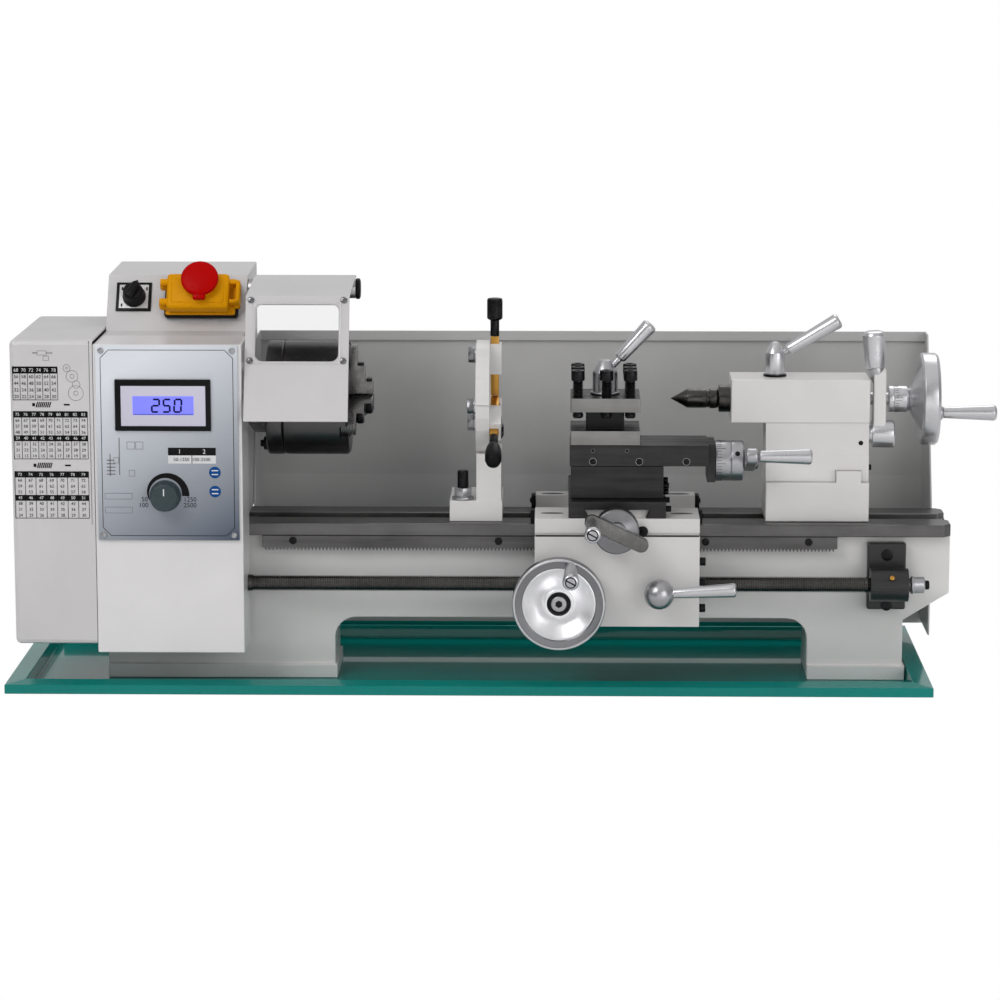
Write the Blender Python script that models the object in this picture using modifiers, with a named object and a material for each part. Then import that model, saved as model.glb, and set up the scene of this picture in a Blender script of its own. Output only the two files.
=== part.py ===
"""A bench metal lathe, built as separate pieces on a chip tray.

Lengths are written in millimetres and turned into metres where a mesh is made.
+X points from the headstock to the tailstock, -Y to the operator, +Z up.
The origin is the centre of the chip tray's underside.
"""
import math

import bmesh
import bpy
from mathutils import Matrix, Vector

MM = 0.001
GAP = 0.3            # clearance left between pieces that touch
TURN = 2 * math.pi

# ---- driving dimensions, in millimetres ----
TRAY_LENGTH, TRAY_WIDTH, TRAY_HEIGHT = 800, 262, 11.5
TRAY_SHEET, TRAY_RIM, TRAY_LIP = 1.5, 15.5, 8

BED_LEFT, BED_RIGHT = -319.5, 420
BED_TOP = 141                       # top of both ways
WAY_FRONT, WAY_REAR = -59, 27       # outer edges of the ways
GAP_FRONT, GAP_REAR = -28, -2       # the gap between the ways
WAY_THICKNESS = 11
WEB_FRONT, WEB_REAR = -50, 18
ARCH_TOP, ARCH_RADIUS = 55.5, 18
LEFT_LEG_RIGHT, RIGHT_LEG_LEFT, RIGHT_LEG_RIGHT = -119, 296, 380
PAD_HEIGHT, PAD_OVERHANG = 12, 5

CENTRE_HEIGHT = 105                 # spindle axis above the ways
SPINDLE_Y = -16
SPINDLE_Z = BED_TOP + CENTRE_HEIGHT
SPINDLE_RADIUS, SPINDLE_BORE, TAIL_RADIUS = 15, 10, 12
SPINDLE_END = -350
CHUCK_RADIUS, CHUCK_LEFT, CHUCK_SPLIT, CHUCK_FACE = 50, -178, -163, -106
JAW_END, JAW_WIDTH, JAW_DEPTH = -86, 11.4, 7
BEARING_RADIUS, BEARING_WIDTH = 31, 16

HEADSTOCK_LEFT, HEADSTOCK_RIGHT = -292, -199.3
HEADSTOCK_FRONT, HEADSTOCK_REAR, HEADSTOCK_TOP = -54, 22, 300
COVER_RIGHT = -197                  # right side of the headstock cover
COVER_SHELF, COVER_TOP, COVER_BACK_TOP = 306, 352.5, 354.5
SLOPE_FOOT_Y, SLOPE_HEAD_Y, COVER_REAR = -29, 1, 91
SHEET = 2                           # wall of the covers

GEAR_BOX_LEFT, GEAR_BOX_RIGHT, GEAR_BOX_FRONT, GEAR_BOX_REAR = -391, -320, -119, 52
GEAR_BOX_BOTTOM, GEAR_BOX_TOP = 45, 309.5
CONTROL_RIGHT, CONTROL_FRONT, CONTROL_BOTTOM = -193, -119, 38
PANEL_LEFT, PANEL_RIGHT, PANEL_BOTTOM, PANEL_TOP, PANEL_THICK = -317, -196, 137, 305.5, 2

MODULE = 1.5                        # change gears
SPINDLE_TEETH, IDLER_TEETH, SCREW_TEETH = 24, 76, 50
GEAR_LEFT, GEAR_RIGHT = -345, -337
RACK_MODULE = 1.0
PINION_TEETH, REDUCTION_TEETH, WHEEL_TEETH = 14, 50, 16
RACK_LEFT, RACK_RIGHT, RACK_BOTTOM, RACK_DEPTH = -182, 321, 117, 8.4

LEADSCREW_Y, LEADSCREW_Z, LEADSCREW_RADIUS = -75, 91, 7.2
JOURNAL_RADIUS = 6
END_BRACKET_LEFT, END_BRACKET_RIGHT = 347.5, 381

PULLEY_LEFT, PULLEY_RIGHT = -312, -297
SPINDLE_PULLEY_RADIUS, MOTOR_PULLEY_RADIUS, BELT_THICK = 36, 12, 3
MOTOR_Y, MOTOR_Z, MOTOR_RADIUS = 57, 205, 29
MOTOR_LEFT, MOTOR_RIGHT, MOTOR_SHAFT = -290, -205, 5

ROD_Y, ROD_Z, ROD_RADIUS, ROD_TAIL, ROD_END = 4, 340, 8.5, 3.5, -100
GUARD_LEFT, GUARD_RIGHT = -191, -102
GUARD_OUTLINE = ((14, 351), (-9, 351), (-89, 344.5), (-129, 241.5))
WINDOW_THICK = 3

SPLASH_LEFT, SPLASH_RIGHT, SPLASH_BACK, SPLASH_TOP = -196.7, 412, 111, 289
SPLASH_FOLD, SPLASH_FOOT_Y, SPLASH_SHEET = 156.5, 96, 1.5
SPLASH_SKIRT = 21                     # lower edge between and beyond its two feet
SPLASH_FEET = ((SPLASH_LEFT, -125), (303, 372))
HEM_HEIGHT, HEM_DEPTH = 8, 3

SADDLE_LEFT, SADDLE_RIGHT, SADDLE_FRONT = 57, 199, -105
SADDLE_TOP, WING_EDGE, REAR_WING_EDGE, SADDLE_REAR = 154, -49, 13, 34
APRON_FRONT, APRON_REAR, APRON_BOTTOM, APRON_TOP, APRON_WALL = -108, -62, 60, 139.2, 8
CROSS_LEFT, CROSS_RIGHT, CROSS_FRONT, CROSS_REAR, CROSS_TOP = 86, 170, -103, 37, 168.5
DOVETAIL_HEIGHT, DOVETAIL_FLARE = 7, 4
CROSS_SCREW_X, CROSS_SCREW_Z, CROSS_SCREW_RADIUS = 127, 147, 4
SWIVEL_X, SWIVEL_Y, SWIVEL_TOP, SWIVEL_HALF = 128, -58, 196.5, (40, 29.5)
SLIDE_LEFT, SLIDE_RIGHT, SLIDE_TOP, SLIDE_HALF = 87, 207, 215, 28.5
TOP_SCREW_Z, TOP_SCREW_RADIUS = 197.5, 4
POST_X, POST_HALF, POST_WAIST = 117.5, 30, 16.5
POST_LEVELS = (215.3, 227.8, 243.8, 256)   # foot, slot bottom, slot top, top
STUD_RADIUS = 6

TAIL_BASE_LEFT, TAIL_BASE_RIGHT, TAIL_BASE_TOP = 258.5, 349, 175.7
TAIL_BODY_LEFT, BARREL_BOTTOM, BARREL_TOP, BARREL_HALF = 228, 228, 266, 25
QUILL_RADIUS, QUILL_LEFT, QUILL_RIGHT = 12, 217.6, 330
CENTRE_TIP, CENTRE_RADIUS, SHANK_RADIUS = 175.7, 8.4, 7.2
CLAMP_Y, CLAMP_Z = -30, 217

STEADY_LEFT, STEADY_RIGHT, STEADY_INNER, STEADY_OUTER = 5, 27, 34, 51
STEADY_BASE = (-18, 28)
FINGER_HALF = 3.6


# ---- finishes ----
def make_finish(name, colour, roughness, metallic=0.0, alpha=1.0):
    """A plain Principled material."""
    material = bpy.data.materials.new(name)
    material.use_nodes = True
    shader = material.node_tree.nodes["Principled BSDF"]
    shader.inputs["Base Color"].default_value = (*colour, 1.0)
    shader.inputs["Roughness"].default_value = roughness
    shader.inputs["Metallic"].default_value = metallic
    shader.inputs["Alpha"].default_value = alpha
    return material


FINISHES = {
    "paint": ((0.78, 0.77, 0.75), 0.45),
    "teal": ((0.0, 0.22, 0.19), 0.4),
    "black": ((0.02, 0.02, 0.022), 0.4),
    "dark_steel": ((0.11, 0.11, 0.115), 0.45, 1.0),
    "steel": ((0.55, 0.55, 0.56), 0.3, 1.0),
    "bright": ((0.75, 0.75, 0.77), 0.2, 1.0),
    "brass": ((0.78, 0.5, 0.18), 0.3, 1.0),
    "grey_sheet": ((0.42, 0.41, 0.40), 0.5),
    "panel": ((0.6, 0.66, 0.7), 0.35),
    "yellow": ((0.95, 0.6, 0.02), 0.4),
    "red": ((0.75, 0.02, 0.02), 0.35),
    "rubber": ((0.03, 0.03, 0.03), 0.8),
    "clear": ((0.9, 0.93, 0.95), 0.05, 0.0, 0.25),
}


# ---- places and shapes ----
def metres(*place):
    return Vector(place) * MM


def circle(radius, centre=(0, 0), sides=32):
    """Points round a circle."""
    return [
        (centre[0] + radius * math.cos(TURN * i / sides), centre[1] + radius * math.sin(TURN * i / sides))
        for i in range(sides)
    ]


def arc(centre, radius, start, end, steps=6):
    """Points along an arc, angles in degrees."""
    angles = [math.radians(start + (end - start) * i / steps) for i in range(steps + 1)]
    return [(centre[0] + radius * math.cos(a), centre[1] + radius * math.sin(a)) for a in angles]


def around(circles, sides=48):
    """The outline of a band stretched round circles given as (centre, radius)."""
    outline = []
    for i in range(sides):
        a = TURN * i / sides
        ahead = (math.cos(a), math.sin(a))
        reach = [c[0] * ahead[0] + c[1] * ahead[1] + r for c, r in circles]
        centre, radius = circles[reach.index(max(reach))]
        outline.append((centre[0] + radius * ahead[0], centre[1] + radius * ahead[1]))
    return outline


def rectangle(low, high):
    return [(low[0], low[1]), (high[0], low[1]), (high[0], high[1]), (low[0], high[1])]


def place_object(obj, finish):
    """Link an object: pieces get a finish, cutters and joined shapes get none."""
    if finish:
        obj.data.materials.append(materials[finish])
        lathe.objects.link(obj)
    else:
        obj.hide_render = True
        obj.display_type = "WIRE"
        cutters.objects.link(obj)
    return obj


def mesh_object(name, bm, finish, place):
    mesh = bpy.data.meshes.new(name)
    bm.to_mesh(mesh)
    bm.free()
    mesh.shade_smooth()
    mesh.set_sharp_from_angle(angle=0.6)
    obj = bpy.data.objects.new(name, mesh)
    obj.location = metres(*place)
    return place_object(obj, finish)


def block(name, finish, low, high, bevel=0.0):
    """A box between two corners, its edges rounded by bevel."""
    low, high = Vector(low), Vector(high)
    bm = bmesh.new()
    bmesh.ops.create_cube(bm, size=1, matrix=Matrix.Diagonal(((high - low) * MM).to_4d()))
    obj = mesh_object(name, bm, finish, (low + high) / 2)
    if bevel:
        rounding = obj.modifiers.new("rounding", "BEVEL")
        rounding.width = bevel * MM
        rounding.segments = 2
    return obj


def rod(name, finish, start, end, radius, end_radius=None, sides=16):
    """A cylinder or cone between two points."""
    start, end = Vector(start), Vector(end)
    bm = bmesh.new()
    bmesh.ops.create_cone(
        bm, cap_ends=True, segments=sides, radius1=radius * MM,
        radius2=(radius if end_radius is None else end_radius) * MM, depth=(end - start).length * MM,
    )
    obj = mesh_object(name, bm, finish, (start + end) / 2)
    obj.rotation_euler = (end - start).to_track_quat("Z", "Y").to_euler()
    return obj


def turned(name, finish, profile, place, axis, sides=24, closed=False):
    """A profile of (radius, height along axis) turned about the axis, listed from the top down."""
    bm = bmesh.new()
    corners = [bm.verts.new((r * MM, 0, h * MM)) for r, h in profile]
    for a, b in zip(corners, corners[1:]):
        bm.edges.new((a, b))
    if closed:
        bm.edges.new((corners[-1], corners[0]))
    obj = mesh_object(name, bm, finish, place)
    spin = obj.modifiers.new("spin", "SCREW")
    spin.steps = spin.render_steps = sides
    spin.use_merge_vertices = True
    spin.merge_threshold = 0.00001
    spin.use_smooth_shade = True
    obj.rotation_euler = Vector(axis).to_track_quat("Z", "Y").to_euler()
    return obj


FACINGS = {
    "x": Matrix(((0, 0, 1), (1, 0, 0), (0, 1, 0))),     # outline in (y, z)
    "y": Matrix(((1, 0, 0), (0, 0, -1), (0, 1, 0))),    # outline in (x, z)
    "z": Matrix.Identity(3),                            # outline in (x, y)
}


def plate(name, finish, facing, span, outline, holes=(), origin=(0, 0), matrix=None):
    """A flat outline with holes, as thick as span and facing along an axis."""
    curve = bpy.data.curves.new(name, "CURVE")
    curve.dimensions = "2D"
    curve.fill_mode = "BOTH"
    curve.extrude = (span[1] - span[0]) / 2 * MM
    for loop in (outline, *holes):
        spline = curve.splines.new("POLY")
        spline.points.add(len(loop) - 1)
        for point, (a, b) in zip(spline.points, loop):
            point.co = (a * MM, b * MM, 0, 1)
        spline.use_cyclic_u = True
    turn = FACINGS[facing] if matrix is None else matrix
    middle = sum(span) / 2 * (-1 if facing == "y" and matrix is None else 1)
    centre = turn @ Vector((origin[0], origin[1], middle))
    sketch = bpy.data.objects.new(name + "_sketch", curve)
    bpy.context.scene.collection.objects.link(sketch)
    flat = bpy.data.meshes.new_from_object(sketch.evaluated_get(bpy.context.evaluated_depsgraph_get()))
    bpy.data.objects.remove(sketch)
    bpy.data.curves.remove(curve)
    bm = bmesh.new()
    bm.from_mesh(flat)
    bpy.data.meshes.remove(flat)
    bmesh.ops.remove_doubles(bm, verts=bm.verts, dist=0.000005)
    bmesh.ops.recalc_face_normals(bm, faces=bm.faces)
    obj = mesh_object(name, bm, finish, centre)
    obj.rotation_euler = turn.to_euler()
    return obj


def combine(operation, target, tools):
    """Cut tools from a piece or join them to it; each tool then follows the piece."""
    home = Matrix.LocRotScale(target.location, target.rotation_euler, None).inverted()
    for tool in tools:
        change = target.modifiers.new(operation.lower(), "BOOLEAN")
        change.operation = operation
        change.object = tool
        tool.parent = target
        tool.matrix_parent_inverse = home
    return target


def cut(target, *tools):
    return combine("DIFFERENCE", target, tools)


def join(target, *tools):
    return combine("UNION", target, tools)


def pivot(name, place, *pieces):
    """An empty on a joint's axis that carries the pieces of one body."""
    empty = bpy.data.objects.new(name, None)
    empty.location = metres(*place)
    empty.empty_display_size = 0.02
    lathe.objects.link(empty)
    for piece in pieces:
        piece.parent = empty
        piece.matrix_parent_inverse = Matrix.Translation(-empty.location)


# ---- gears ----
TIP_HALF, PITCH_HALF, ROOT_HALF = 0.34, 0.68, 1.0    # half tooth widths, in modules


def gear_outline(teeth, module, phase=0.0):
    """Straight-flanked teeth; one tooth is centred on the angle phase."""
    pitch = teeth * module / 2
    outline = []
    for i in range(teeth):
        middle = phase + TURN * i / teeth
        for half, radius in ((-ROOT_HALF, pitch - 1.25 * module), (-TIP_HALF, pitch + module),
                             (TIP_HALF, pitch + module), (ROOT_HALF, pitch - 1.25 * module)):
            angle = middle + half * module / radius
            outline.append((radius * math.cos(angle), radius * math.sin(angle)))
    return outline


def meshing_phase(driver_teeth, driver_phase, teeth, heading):
    """Phase that puts a gap opposite the driver's tooth; heading is the angle from driver to gear."""
    step = TURN / driver_teeth
    lead = (driver_phase - heading) % step
    return heading + math.pi - lead * driver_teeth / teeth + math.pi / teeth


def idler_place():
    """Centre of the idler gear, which meshes with the spindle gear and the leadscrew gear."""
    spindle, screw = Vector((SPINDLE_Y, SPINDLE_Z)), Vector((LEADSCREW_Y, LEADSCREW_Z))
    reach = MODULE * (SPINDLE_TEETH + IDLER_TEETH) / 2
    other = MODULE * (IDLER_TEETH + SCREW_TEETH) / 2
    line = screw - spindle
    along = (reach ** 2 - other ** 2 + line.length_squared) / (2 * line.length)
    aside = math.sqrt(reach ** 2 - along ** 2)
    ahead = line.normalized()
    return spindle + ahead * along + Vector((-ahead.y, ahead.x)) * aside


# ---- tray and bed ----
def make_tray():
    """A pressed sheet: floor, wall, rim and a lip turned down."""
    half = Vector((TRAY_LENGTH / 2, TRAY_WIDTH / 2))
    wall, rim = TRAY_RIM, TRAY_SHEET
    steps = ((wall, 0), (wall, TRAY_HEIGHT - TRAY_SHEET), (rim, TRAY_HEIGHT - TRAY_SHEET),
             (rim, TRAY_HEIGHT - TRAY_LIP))
    bm = bmesh.new()
    loops = []
    for inset, height in steps:
        corners = rectangle(-half + Vector((inset, inset)), half - Vector((inset, inset)))
        loops.append([bm.verts.new(metres(x, y, height)) for x, y in corners])
    bm.faces.new(loops[0])
    for lower, upper in zip(loops, loops[1:]):
        for i in range(4):
            j = (i + 1) % 4
            bm.faces.new((lower[j], lower[i], upper[i], upper[j]))
    tray = mesh_object("chip_tray", bm, "teal", (0, 0, 0))
    sheet = tray.modifiers.new("sheet", "SOLIDIFY")
    sheet.thickness = TRAY_SHEET * MM
    sheet.offset = 1
    sheet.use_even_offset = True
    return tray


def make_bed():
    """The casting: a web on two legs under a pair of flat ways."""
    foot = TRAY_SHEET + GAP + PAD_HEIGHT - 2
    r = ARCH_RADIUS
    side = [(BED_LEFT, foot), (LEFT_LEG_RIGHT, foot)]
    side += arc((LEFT_LEG_RIGHT + r, ARCH_TOP - r), r, 180, 90)
    side += arc((RIGHT_LEG_LEFT - r, ARCH_TOP - r), r, 90, 0)
    side += [(RIGHT_LEG_LEFT, foot), (RIGHT_LEG_RIGHT, foot), (RIGHT_LEG_RIGHT, ARCH_TOP - 1),
             (RIGHT_LEG_RIGHT + 22, 68), (BED_RIGHT, 79), (BED_RIGHT, BED_TOP - 4), (BED_LEFT, BED_TOP - 4)]
    bed = plate("bed_casting", "paint", "y", (WEB_FRONT, WEB_REAR), side)
    corner = 6
    ways = []
    for front, rear in ((WAY_FRONT, GAP_FRONT), (GAP_REAR, WAY_REAR)):
        outline = [(BED_LEFT, front), (BED_RIGHT - corner, front), (BED_RIGHT, front + corner),
                   (BED_RIGHT, rear - corner), (BED_RIGHT - corner, rear), (BED_LEFT, rear)]
        ways.append(plate("way", None, "z", (BED_TOP - WAY_THICKNESS, BED_TOP), outline))
    pads = []
    for left, right in ((BED_LEFT, LEFT_LEG_RIGHT), (RIGHT_LEG_LEFT, RIGHT_LEG_RIGHT)):
        pads.append(block("pad", None, (left, WEB_FRONT - PAD_OVERHANG, TRAY_SHEET + GAP),
                          (right + PAD_OVERHANG - 3, WEB_REAR + PAD_OVERHANG, TRAY_SHEET + GAP + PAD_HEIGHT)))
    join(bed, *ways, *pads)
    slot = block("way_gap", None, (-190, GAP_FRONT, 105), (BED_RIGHT + 10, GAP_REAR, BED_TOP + 10))
    windows = [block("web_window", None, (left, GAP_FRONT, ARCH_TOP - 20), (right, GAP_REAR, 110))
               for left, right in ((-100, 30), (50, 160), (180, 275))]
    return cut(bed, slot, *windows)


def make_rack():
    """A toothed bar under the front way, its teeth pointing down."""
    step = math.pi * RACK_MODULE
    tip, root = RACK_BOTTOM, RACK_BOTTOM + 2.25 * RACK_MODULE
    teeth = int((RACK_RIGHT - RACK_LEFT) / step) - 1
    outline = [(RACK_RIGHT, BED_TOP - WAY_THICKNESS - GAP), (RACK_LEFT, BED_TOP - WAY_THICKNESS - GAP),
               (RACK_LEFT, root)]
    for i in range(teeth):
        x = RACK_LEFT + step * (i + 1)
        outline += [(x - ROOT_HALF * RACK_MODULE, root), (x - TIP_HALF * RACK_MODULE, tip),
                    (x + TIP_HALF * RACK_MODULE, tip), (x + ROOT_HALF * RACK_MODULE, root)]
    outline.append((RACK_RIGHT, root))
    rear = WEB_FRONT - GAP
    return plate("rack", "dark_steel", "y", (rear - RACK_DEPTH, rear), outline)


# ---- headstock ----
def make_headstock():
    """Casting with the spindle bore, and a lug that holds the guard rod."""
    casting = block("headstock_casting", "paint", (HEADSTOCK_LEFT, HEADSTOCK_FRONT, BED_TOP + GAP),
                    (HEADSTOCK_RIGHT, HEADSTOCK_REAR, HEADSTOCK_TOP))
    lug = block("rod_lug", None, (HEADSTOCK_RIGHT - 24, ROD_Y - 5, HEADSTOCK_TOP - 5),
                (HEADSTOCK_RIGHT - 4, ROD_Y + 12, ROD_Z + 5))
    join(casting, lug)
    bore = rod("spindle_bore", None, (HEADSTOCK_LEFT - 5, SPINDLE_Y, SPINDLE_Z),
               (HEADSTOCK_RIGHT + 5, SPINDLE_Y, SPINDLE_Z), BEARING_RADIUS + GAP, sides=40)
    seat = rod("rod_seat", None, (HEADSTOCK_RIGHT - 30, ROD_Y, ROD_Z), (HEADSTOCK_RIGHT + 5, ROD_Y, ROD_Z),
               ROD_TAIL + GAP)
    return cut(casting, bore, seat)


def make_bearing(name, left):
    """A ring bearing between the spindle and the headstock bore."""
    inner, w = SPINDLE_RADIUS + GAP, BEARING_WIDTH
    groove = 1.2
    middle_in, middle_out = inner + 4.5, BEARING_RADIUS - 4.5
    profile = [(inner, w), (middle_in, w), (middle_in, w - groove), (middle_out, w - groove), (middle_out, w),
               (BEARING_RADIUS, w), (BEARING_RADIUS, 0), (middle_out, 0), (middle_out, groove),
               (middle_in, groove), (middle_in, 0), (inner, 0)]
    return turned(name, "steel", profile, (left, SPINDLE_Y, SPINDLE_Z), (1, 0, 0), closed=True)


def spindle_turned(name, finish, profile, **options):
    """A piece turned about the spindle; heights in the profile are X positions."""
    return turned(name, finish, profile, (0, SPINDLE_Y, SPINDLE_Z), (1, 0, 0), **options)


def make_spindle():
    """Hollow spindle: nose flange, body and a thinner tail for the gear."""
    bore, body, tail = SPINDLE_BORE, SPINDLE_RADIUS, TAIL_RADIUS
    nose = CHUCK_LEFT - GAP
    profile = [(bore, nose), (31, nose), (31, nose - 12), (24, COVER_RIGHT + 1.5), (body, COVER_RIGHT + 1.5),
               (body, PULLEY_LEFT), (tail, PULLEY_LEFT), (tail, SPINDLE_END), (bore, SPINDLE_END)]
    return spindle_turned("spindle", "steel", profile, closed=True)


def make_backplate():
    bore = SPINDLE_BORE + 2
    profile = [(bore, CHUCK_SPLIT - GAP), (CHUCK_RADIUS - 1, CHUCK_SPLIT - GAP), (CHUCK_RADIUS, CHUCK_SPLIT - 1.3),
               (CHUCK_RADIUS, CHUCK_LEFT + 1), (CHUCK_RADIUS - 1, CHUCK_LEFT), (bore, CHUCK_LEFT)]
    return spindle_turned("chuck_backplate", "black", profile, closed=True, sides=48)


def make_chuck():
    """Chuck body with three radial slots in its face."""
    bore, edge = 12, 1.2
    profile = [(bore, CHUCK_FACE), (CHUCK_RADIUS - edge, CHUCK_FACE), (CHUCK_RADIUS, CHUCK_FACE - edge),
               (CHUCK_RADIUS, CHUCK_SPLIT + edge), (CHUCK_RADIUS - edge, CHUCK_SPLIT), (bore, CHUCK_SPLIT)]
    body = spindle_turned("chuck_body", "black", profile, closed=True, sides=48)
    for angle in jaw_angles():
        slot = block("jaw_slot", None, (CHUCK_FACE - JAW_DEPTH - GAP, -JAW_WIDTH / 2 - GAP, 1),
                     (CHUCK_FACE + 5, JAW_WIDTH / 2 + GAP, CHUCK_RADIUS + 5))
        turn_about_spindle(slot, angle)
        cut(body, slot)
    return body


def jaw_angles():
    return [TURN * i / 3 for i in range(3)]


def turn_about_spindle(obj, angle):
    """Move a shape modelled about the X axis, pointing up, to the spindle and turn it."""
    turn = Matrix.Rotation(angle, 4, "X")
    obj.location = turn @ obj.location + metres(0, SPINDLE_Y, SPINDLE_Z)
    obj.rotation_euler = turn.to_euler()


def make_jaw(index, angle):
    """A stepped jaw; its origin lies on the spindle axis side of the slot."""
    foot = CHUCK_FACE - JAW_DEPTH
    steps = [(4, JAW_END), (12, JAW_END), (12, JAW_END - 7), (24, JAW_END - 7), (24, JAW_END - 14),
             (40, JAW_END - 14), (40, foot), (7, foot), (4, CHUCK_FACE + 3)]
    outline = [(x, z) for z, x in steps]
    jaw = plate(f"chuck_jaw_{index + 1}", "steel", "y", (-JAW_WIDTH / 2, JAW_WIDTH / 2), outline)
    turn = Matrix.Rotation(angle, 4, "X")
    jaw.rotation_euler = (turn.to_3x3() @ FACINGS["y"]).to_euler()
    jaw.location = metres(0, SPINDLE_Y, SPINDLE_Z)
    return jaw


def make_gears():
    """Spindle gear, idler and leadscrew gear, in mesh behind the gear cover."""
    idler = idler_place()
    screw = Vector((LEADSCREW_Y, LEADSCREW_Z))
    down = idler - Vector((SPINDLE_Y, SPINDLE_Z))
    idler_phase = meshing_phase(SPINDLE_TEETH, 0, IDLER_TEETH, math.atan2(down.y, down.x))
    on = screw - idler
    screw_phase = meshing_phase(IDLER_TEETH, idler_phase, SCREW_TEETH, math.atan2(on.y, on.x))
    span = (GEAR_LEFT, GEAR_RIGHT)
    first = plate("spindle_gear", "steel", "x", span, gear_outline(SPINDLE_TEETH, MODULE),
                  [circle(TAIL_RADIUS + GAP)], (SPINDLE_Y, SPINDLE_Z))
    middle = plate("idler_gear", "steel", "x", span, gear_outline(IDLER_TEETH, MODULE, idler_phase),
                   [circle(JOURNAL_RADIUS + GAP, sides=24)], idler)
    last = plate("leadscrew_gear", "steel", "x", span, gear_outline(SCREW_TEETH, MODULE, screw_phase),
                 [circle(JOURNAL_RADIUS + GAP, sides=24)], screw)
    return first, middle, last


def make_gear_plate():
    """Bracket on the bed's end: leadscrew bearing and the idler's stud."""
    idler = idler_place()
    screw = (LEADSCREW_Y, LEADSCREW_Z)
    outline = around([(screw, 15), ((0, 80), 16), ((0, 120), 16), (idler, 13)])
    right = BED_LEFT - GAP
    left = right - 6
    holder = plate("gear_bracket", "paint", "x", (left, right), outline)
    boss = rod("screw_boss", None, (left - 6, *screw), (left + 1, *screw), 12)
    stud = rod("idler_stud", None, (GEAR_LEFT - 3, *idler), (left + 1, *idler), JOURNAL_RADIUS)
    join(holder, boss, stud)
    return cut(holder, rod("screw_hole", None, (left - 20, *screw), (right + 5, *screw), JOURNAL_RADIUS + GAP))


def make_pulley(name, radius, place, bore=None):
    """A V-belt pulley; with no bore it carries its own shaft."""
    w = PULLEY_RIGHT - PULLEY_LEFT
    rim, deep = 2.5, 4
    groove = [(radius + deep, w), (radius + deep, w - rim), (radius, w - rim - deep / 2),
              (radius, rim + deep / 2), (radius + deep, rim), (radius + deep, 0)]
    if bore:
        profile, closed = [(bore, w)] + groove + [(bore, 0)], True
    else:
        reach = MOTOR_LEFT - PULLEY_LEFT + 25
        profile, closed = [(0, reach), (MOTOR_SHAFT, reach), (MOTOR_SHAFT, w)] + groove + [(0, 0)], False
    return turned(name, "steel", profile, (PULLEY_LEFT, *place), (1, 0, 0), closed=closed)


def make_belt():
    """The drive belt round both pulleys."""
    middle = (PULLEY_LEFT + PULLEY_RIGHT) / 2
    slack = 2 * GAP
    inner = [((SPINDLE_Y, SPINDLE_Z), SPINDLE_PULLEY_RADIUS + slack),
             ((MOTOR_Y, MOTOR_Z), MOTOR_PULLEY_RADIUS + slack)]
    outer = [(centre, radius + BELT_THICK) for centre, radius in inner]
    return plate("drive_belt", "rubber", "x", (middle - 2.4, middle + 2.4), around(outer, 32), [around(inner, 32)])


def make_motor():
    """Motor housing with a foot against the headstock."""
    motor = turned("motor_housing", "black",
                   [(0, MOTOR_RIGHT), (MOTOR_RADIUS - 4, MOTOR_RIGHT), (MOTOR_RADIUS, MOTOR_RIGHT - 4),
                    (MOTOR_RADIUS, MOTOR_LEFT + 4), (MOTOR_RADIUS - 4, MOTOR_LEFT), (0, MOTOR_LEFT)],
                   (0, MOTOR_Y, MOTOR_Z), (1, 0, 0))
    foot = block("motor_foot", None, (MOTOR_LEFT + 10, HEADSTOCK_REAR + GAP, MOTOR_Z - 14),
                 (MOTOR_RIGHT - 10, MOTOR_Y - 10, MOTOR_Z + 14))
    join(motor, foot)
    return cut(motor, rod("shaft_hole", None, (MOTOR_LEFT - 5, MOTOR_Y, MOTOR_Z),
                          (MOTOR_LEFT + 30, MOTOR_Y, MOTOR_Z), MOTOR_SHAFT + GAP))


# ---- covers and switches ----
def open_box(name, finish, low, high, wall, bevel, open_side):
    """A box shell with one side left open; open_side is (axis, sign)."""
    shell = block(name, finish, low, high, bevel)
    inside_low = [v + wall for v in low]
    inside_high = [v - wall for v in high]
    axis, sign = open_side
    if sign > 0:
        inside_high[axis] = high[axis] + 10
    else:
        inside_low[axis] = low[axis] - 10
    return cut(shell, block(name + "_inside", None, inside_low, inside_high))


def make_gear_cover():
    """Cover over the gears; its open side meets the control box and headstock cover."""
    cover = open_box("gear_cover", "paint", (GEAR_BOX_LEFT, GEAR_BOX_FRONT, GEAR_BOX_BOTTOM),
                     (GEAR_BOX_RIGHT + 5, GEAR_BOX_REAR, GEAR_BOX_TOP), SHEET, 4, (0, 1))
    trim = block("trim", None, (GEAR_BOX_RIGHT, GEAR_BOX_FRONT - 5, GEAR_BOX_BOTTOM - 5),
                 (GEAR_BOX_RIGHT + 10, GEAR_BOX_REAR + 5, GEAR_BOX_TOP + 5))
    return cut(cover, trim)


def make_control_box():
    """Front electrics box; the leadscrew passes through its lower part."""
    left, rear = GEAR_BOX_RIGHT + GAP, WAY_FRONT - GAP
    box = open_box("control_box", "paint", (left, CONTROL_FRONT, CONTROL_BOTTOM),
                   (CONTROL_RIGHT, rear, COVER_SHELF), SHEET, 0, (0, -1))
    cut(box, rod("screw_pass", None, (CONTROL_RIGHT - 8, LEADSCREW_Y, LEADSCREW_Z),
                 (CONTROL_RIGHT + 5, LEADSCREW_Y, LEADSCREW_Z), LEADSCREW_RADIUS + 1.5))
    return cut(box, knob_hole())


SPEED_X, SPEED_Z, SPEED_RADIUS, KNOB_SHAFT = -259, 176, 13.5, 3


def knob_hole():
    return rod("knob_hole", None, (SPEED_X, CONTROL_FRONT - 10, SPEED_Z), (SPEED_X, CONTROL_FRONT + 6, SPEED_Z),
               KNOB_SHAFT + GAP, sides=16)


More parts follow.
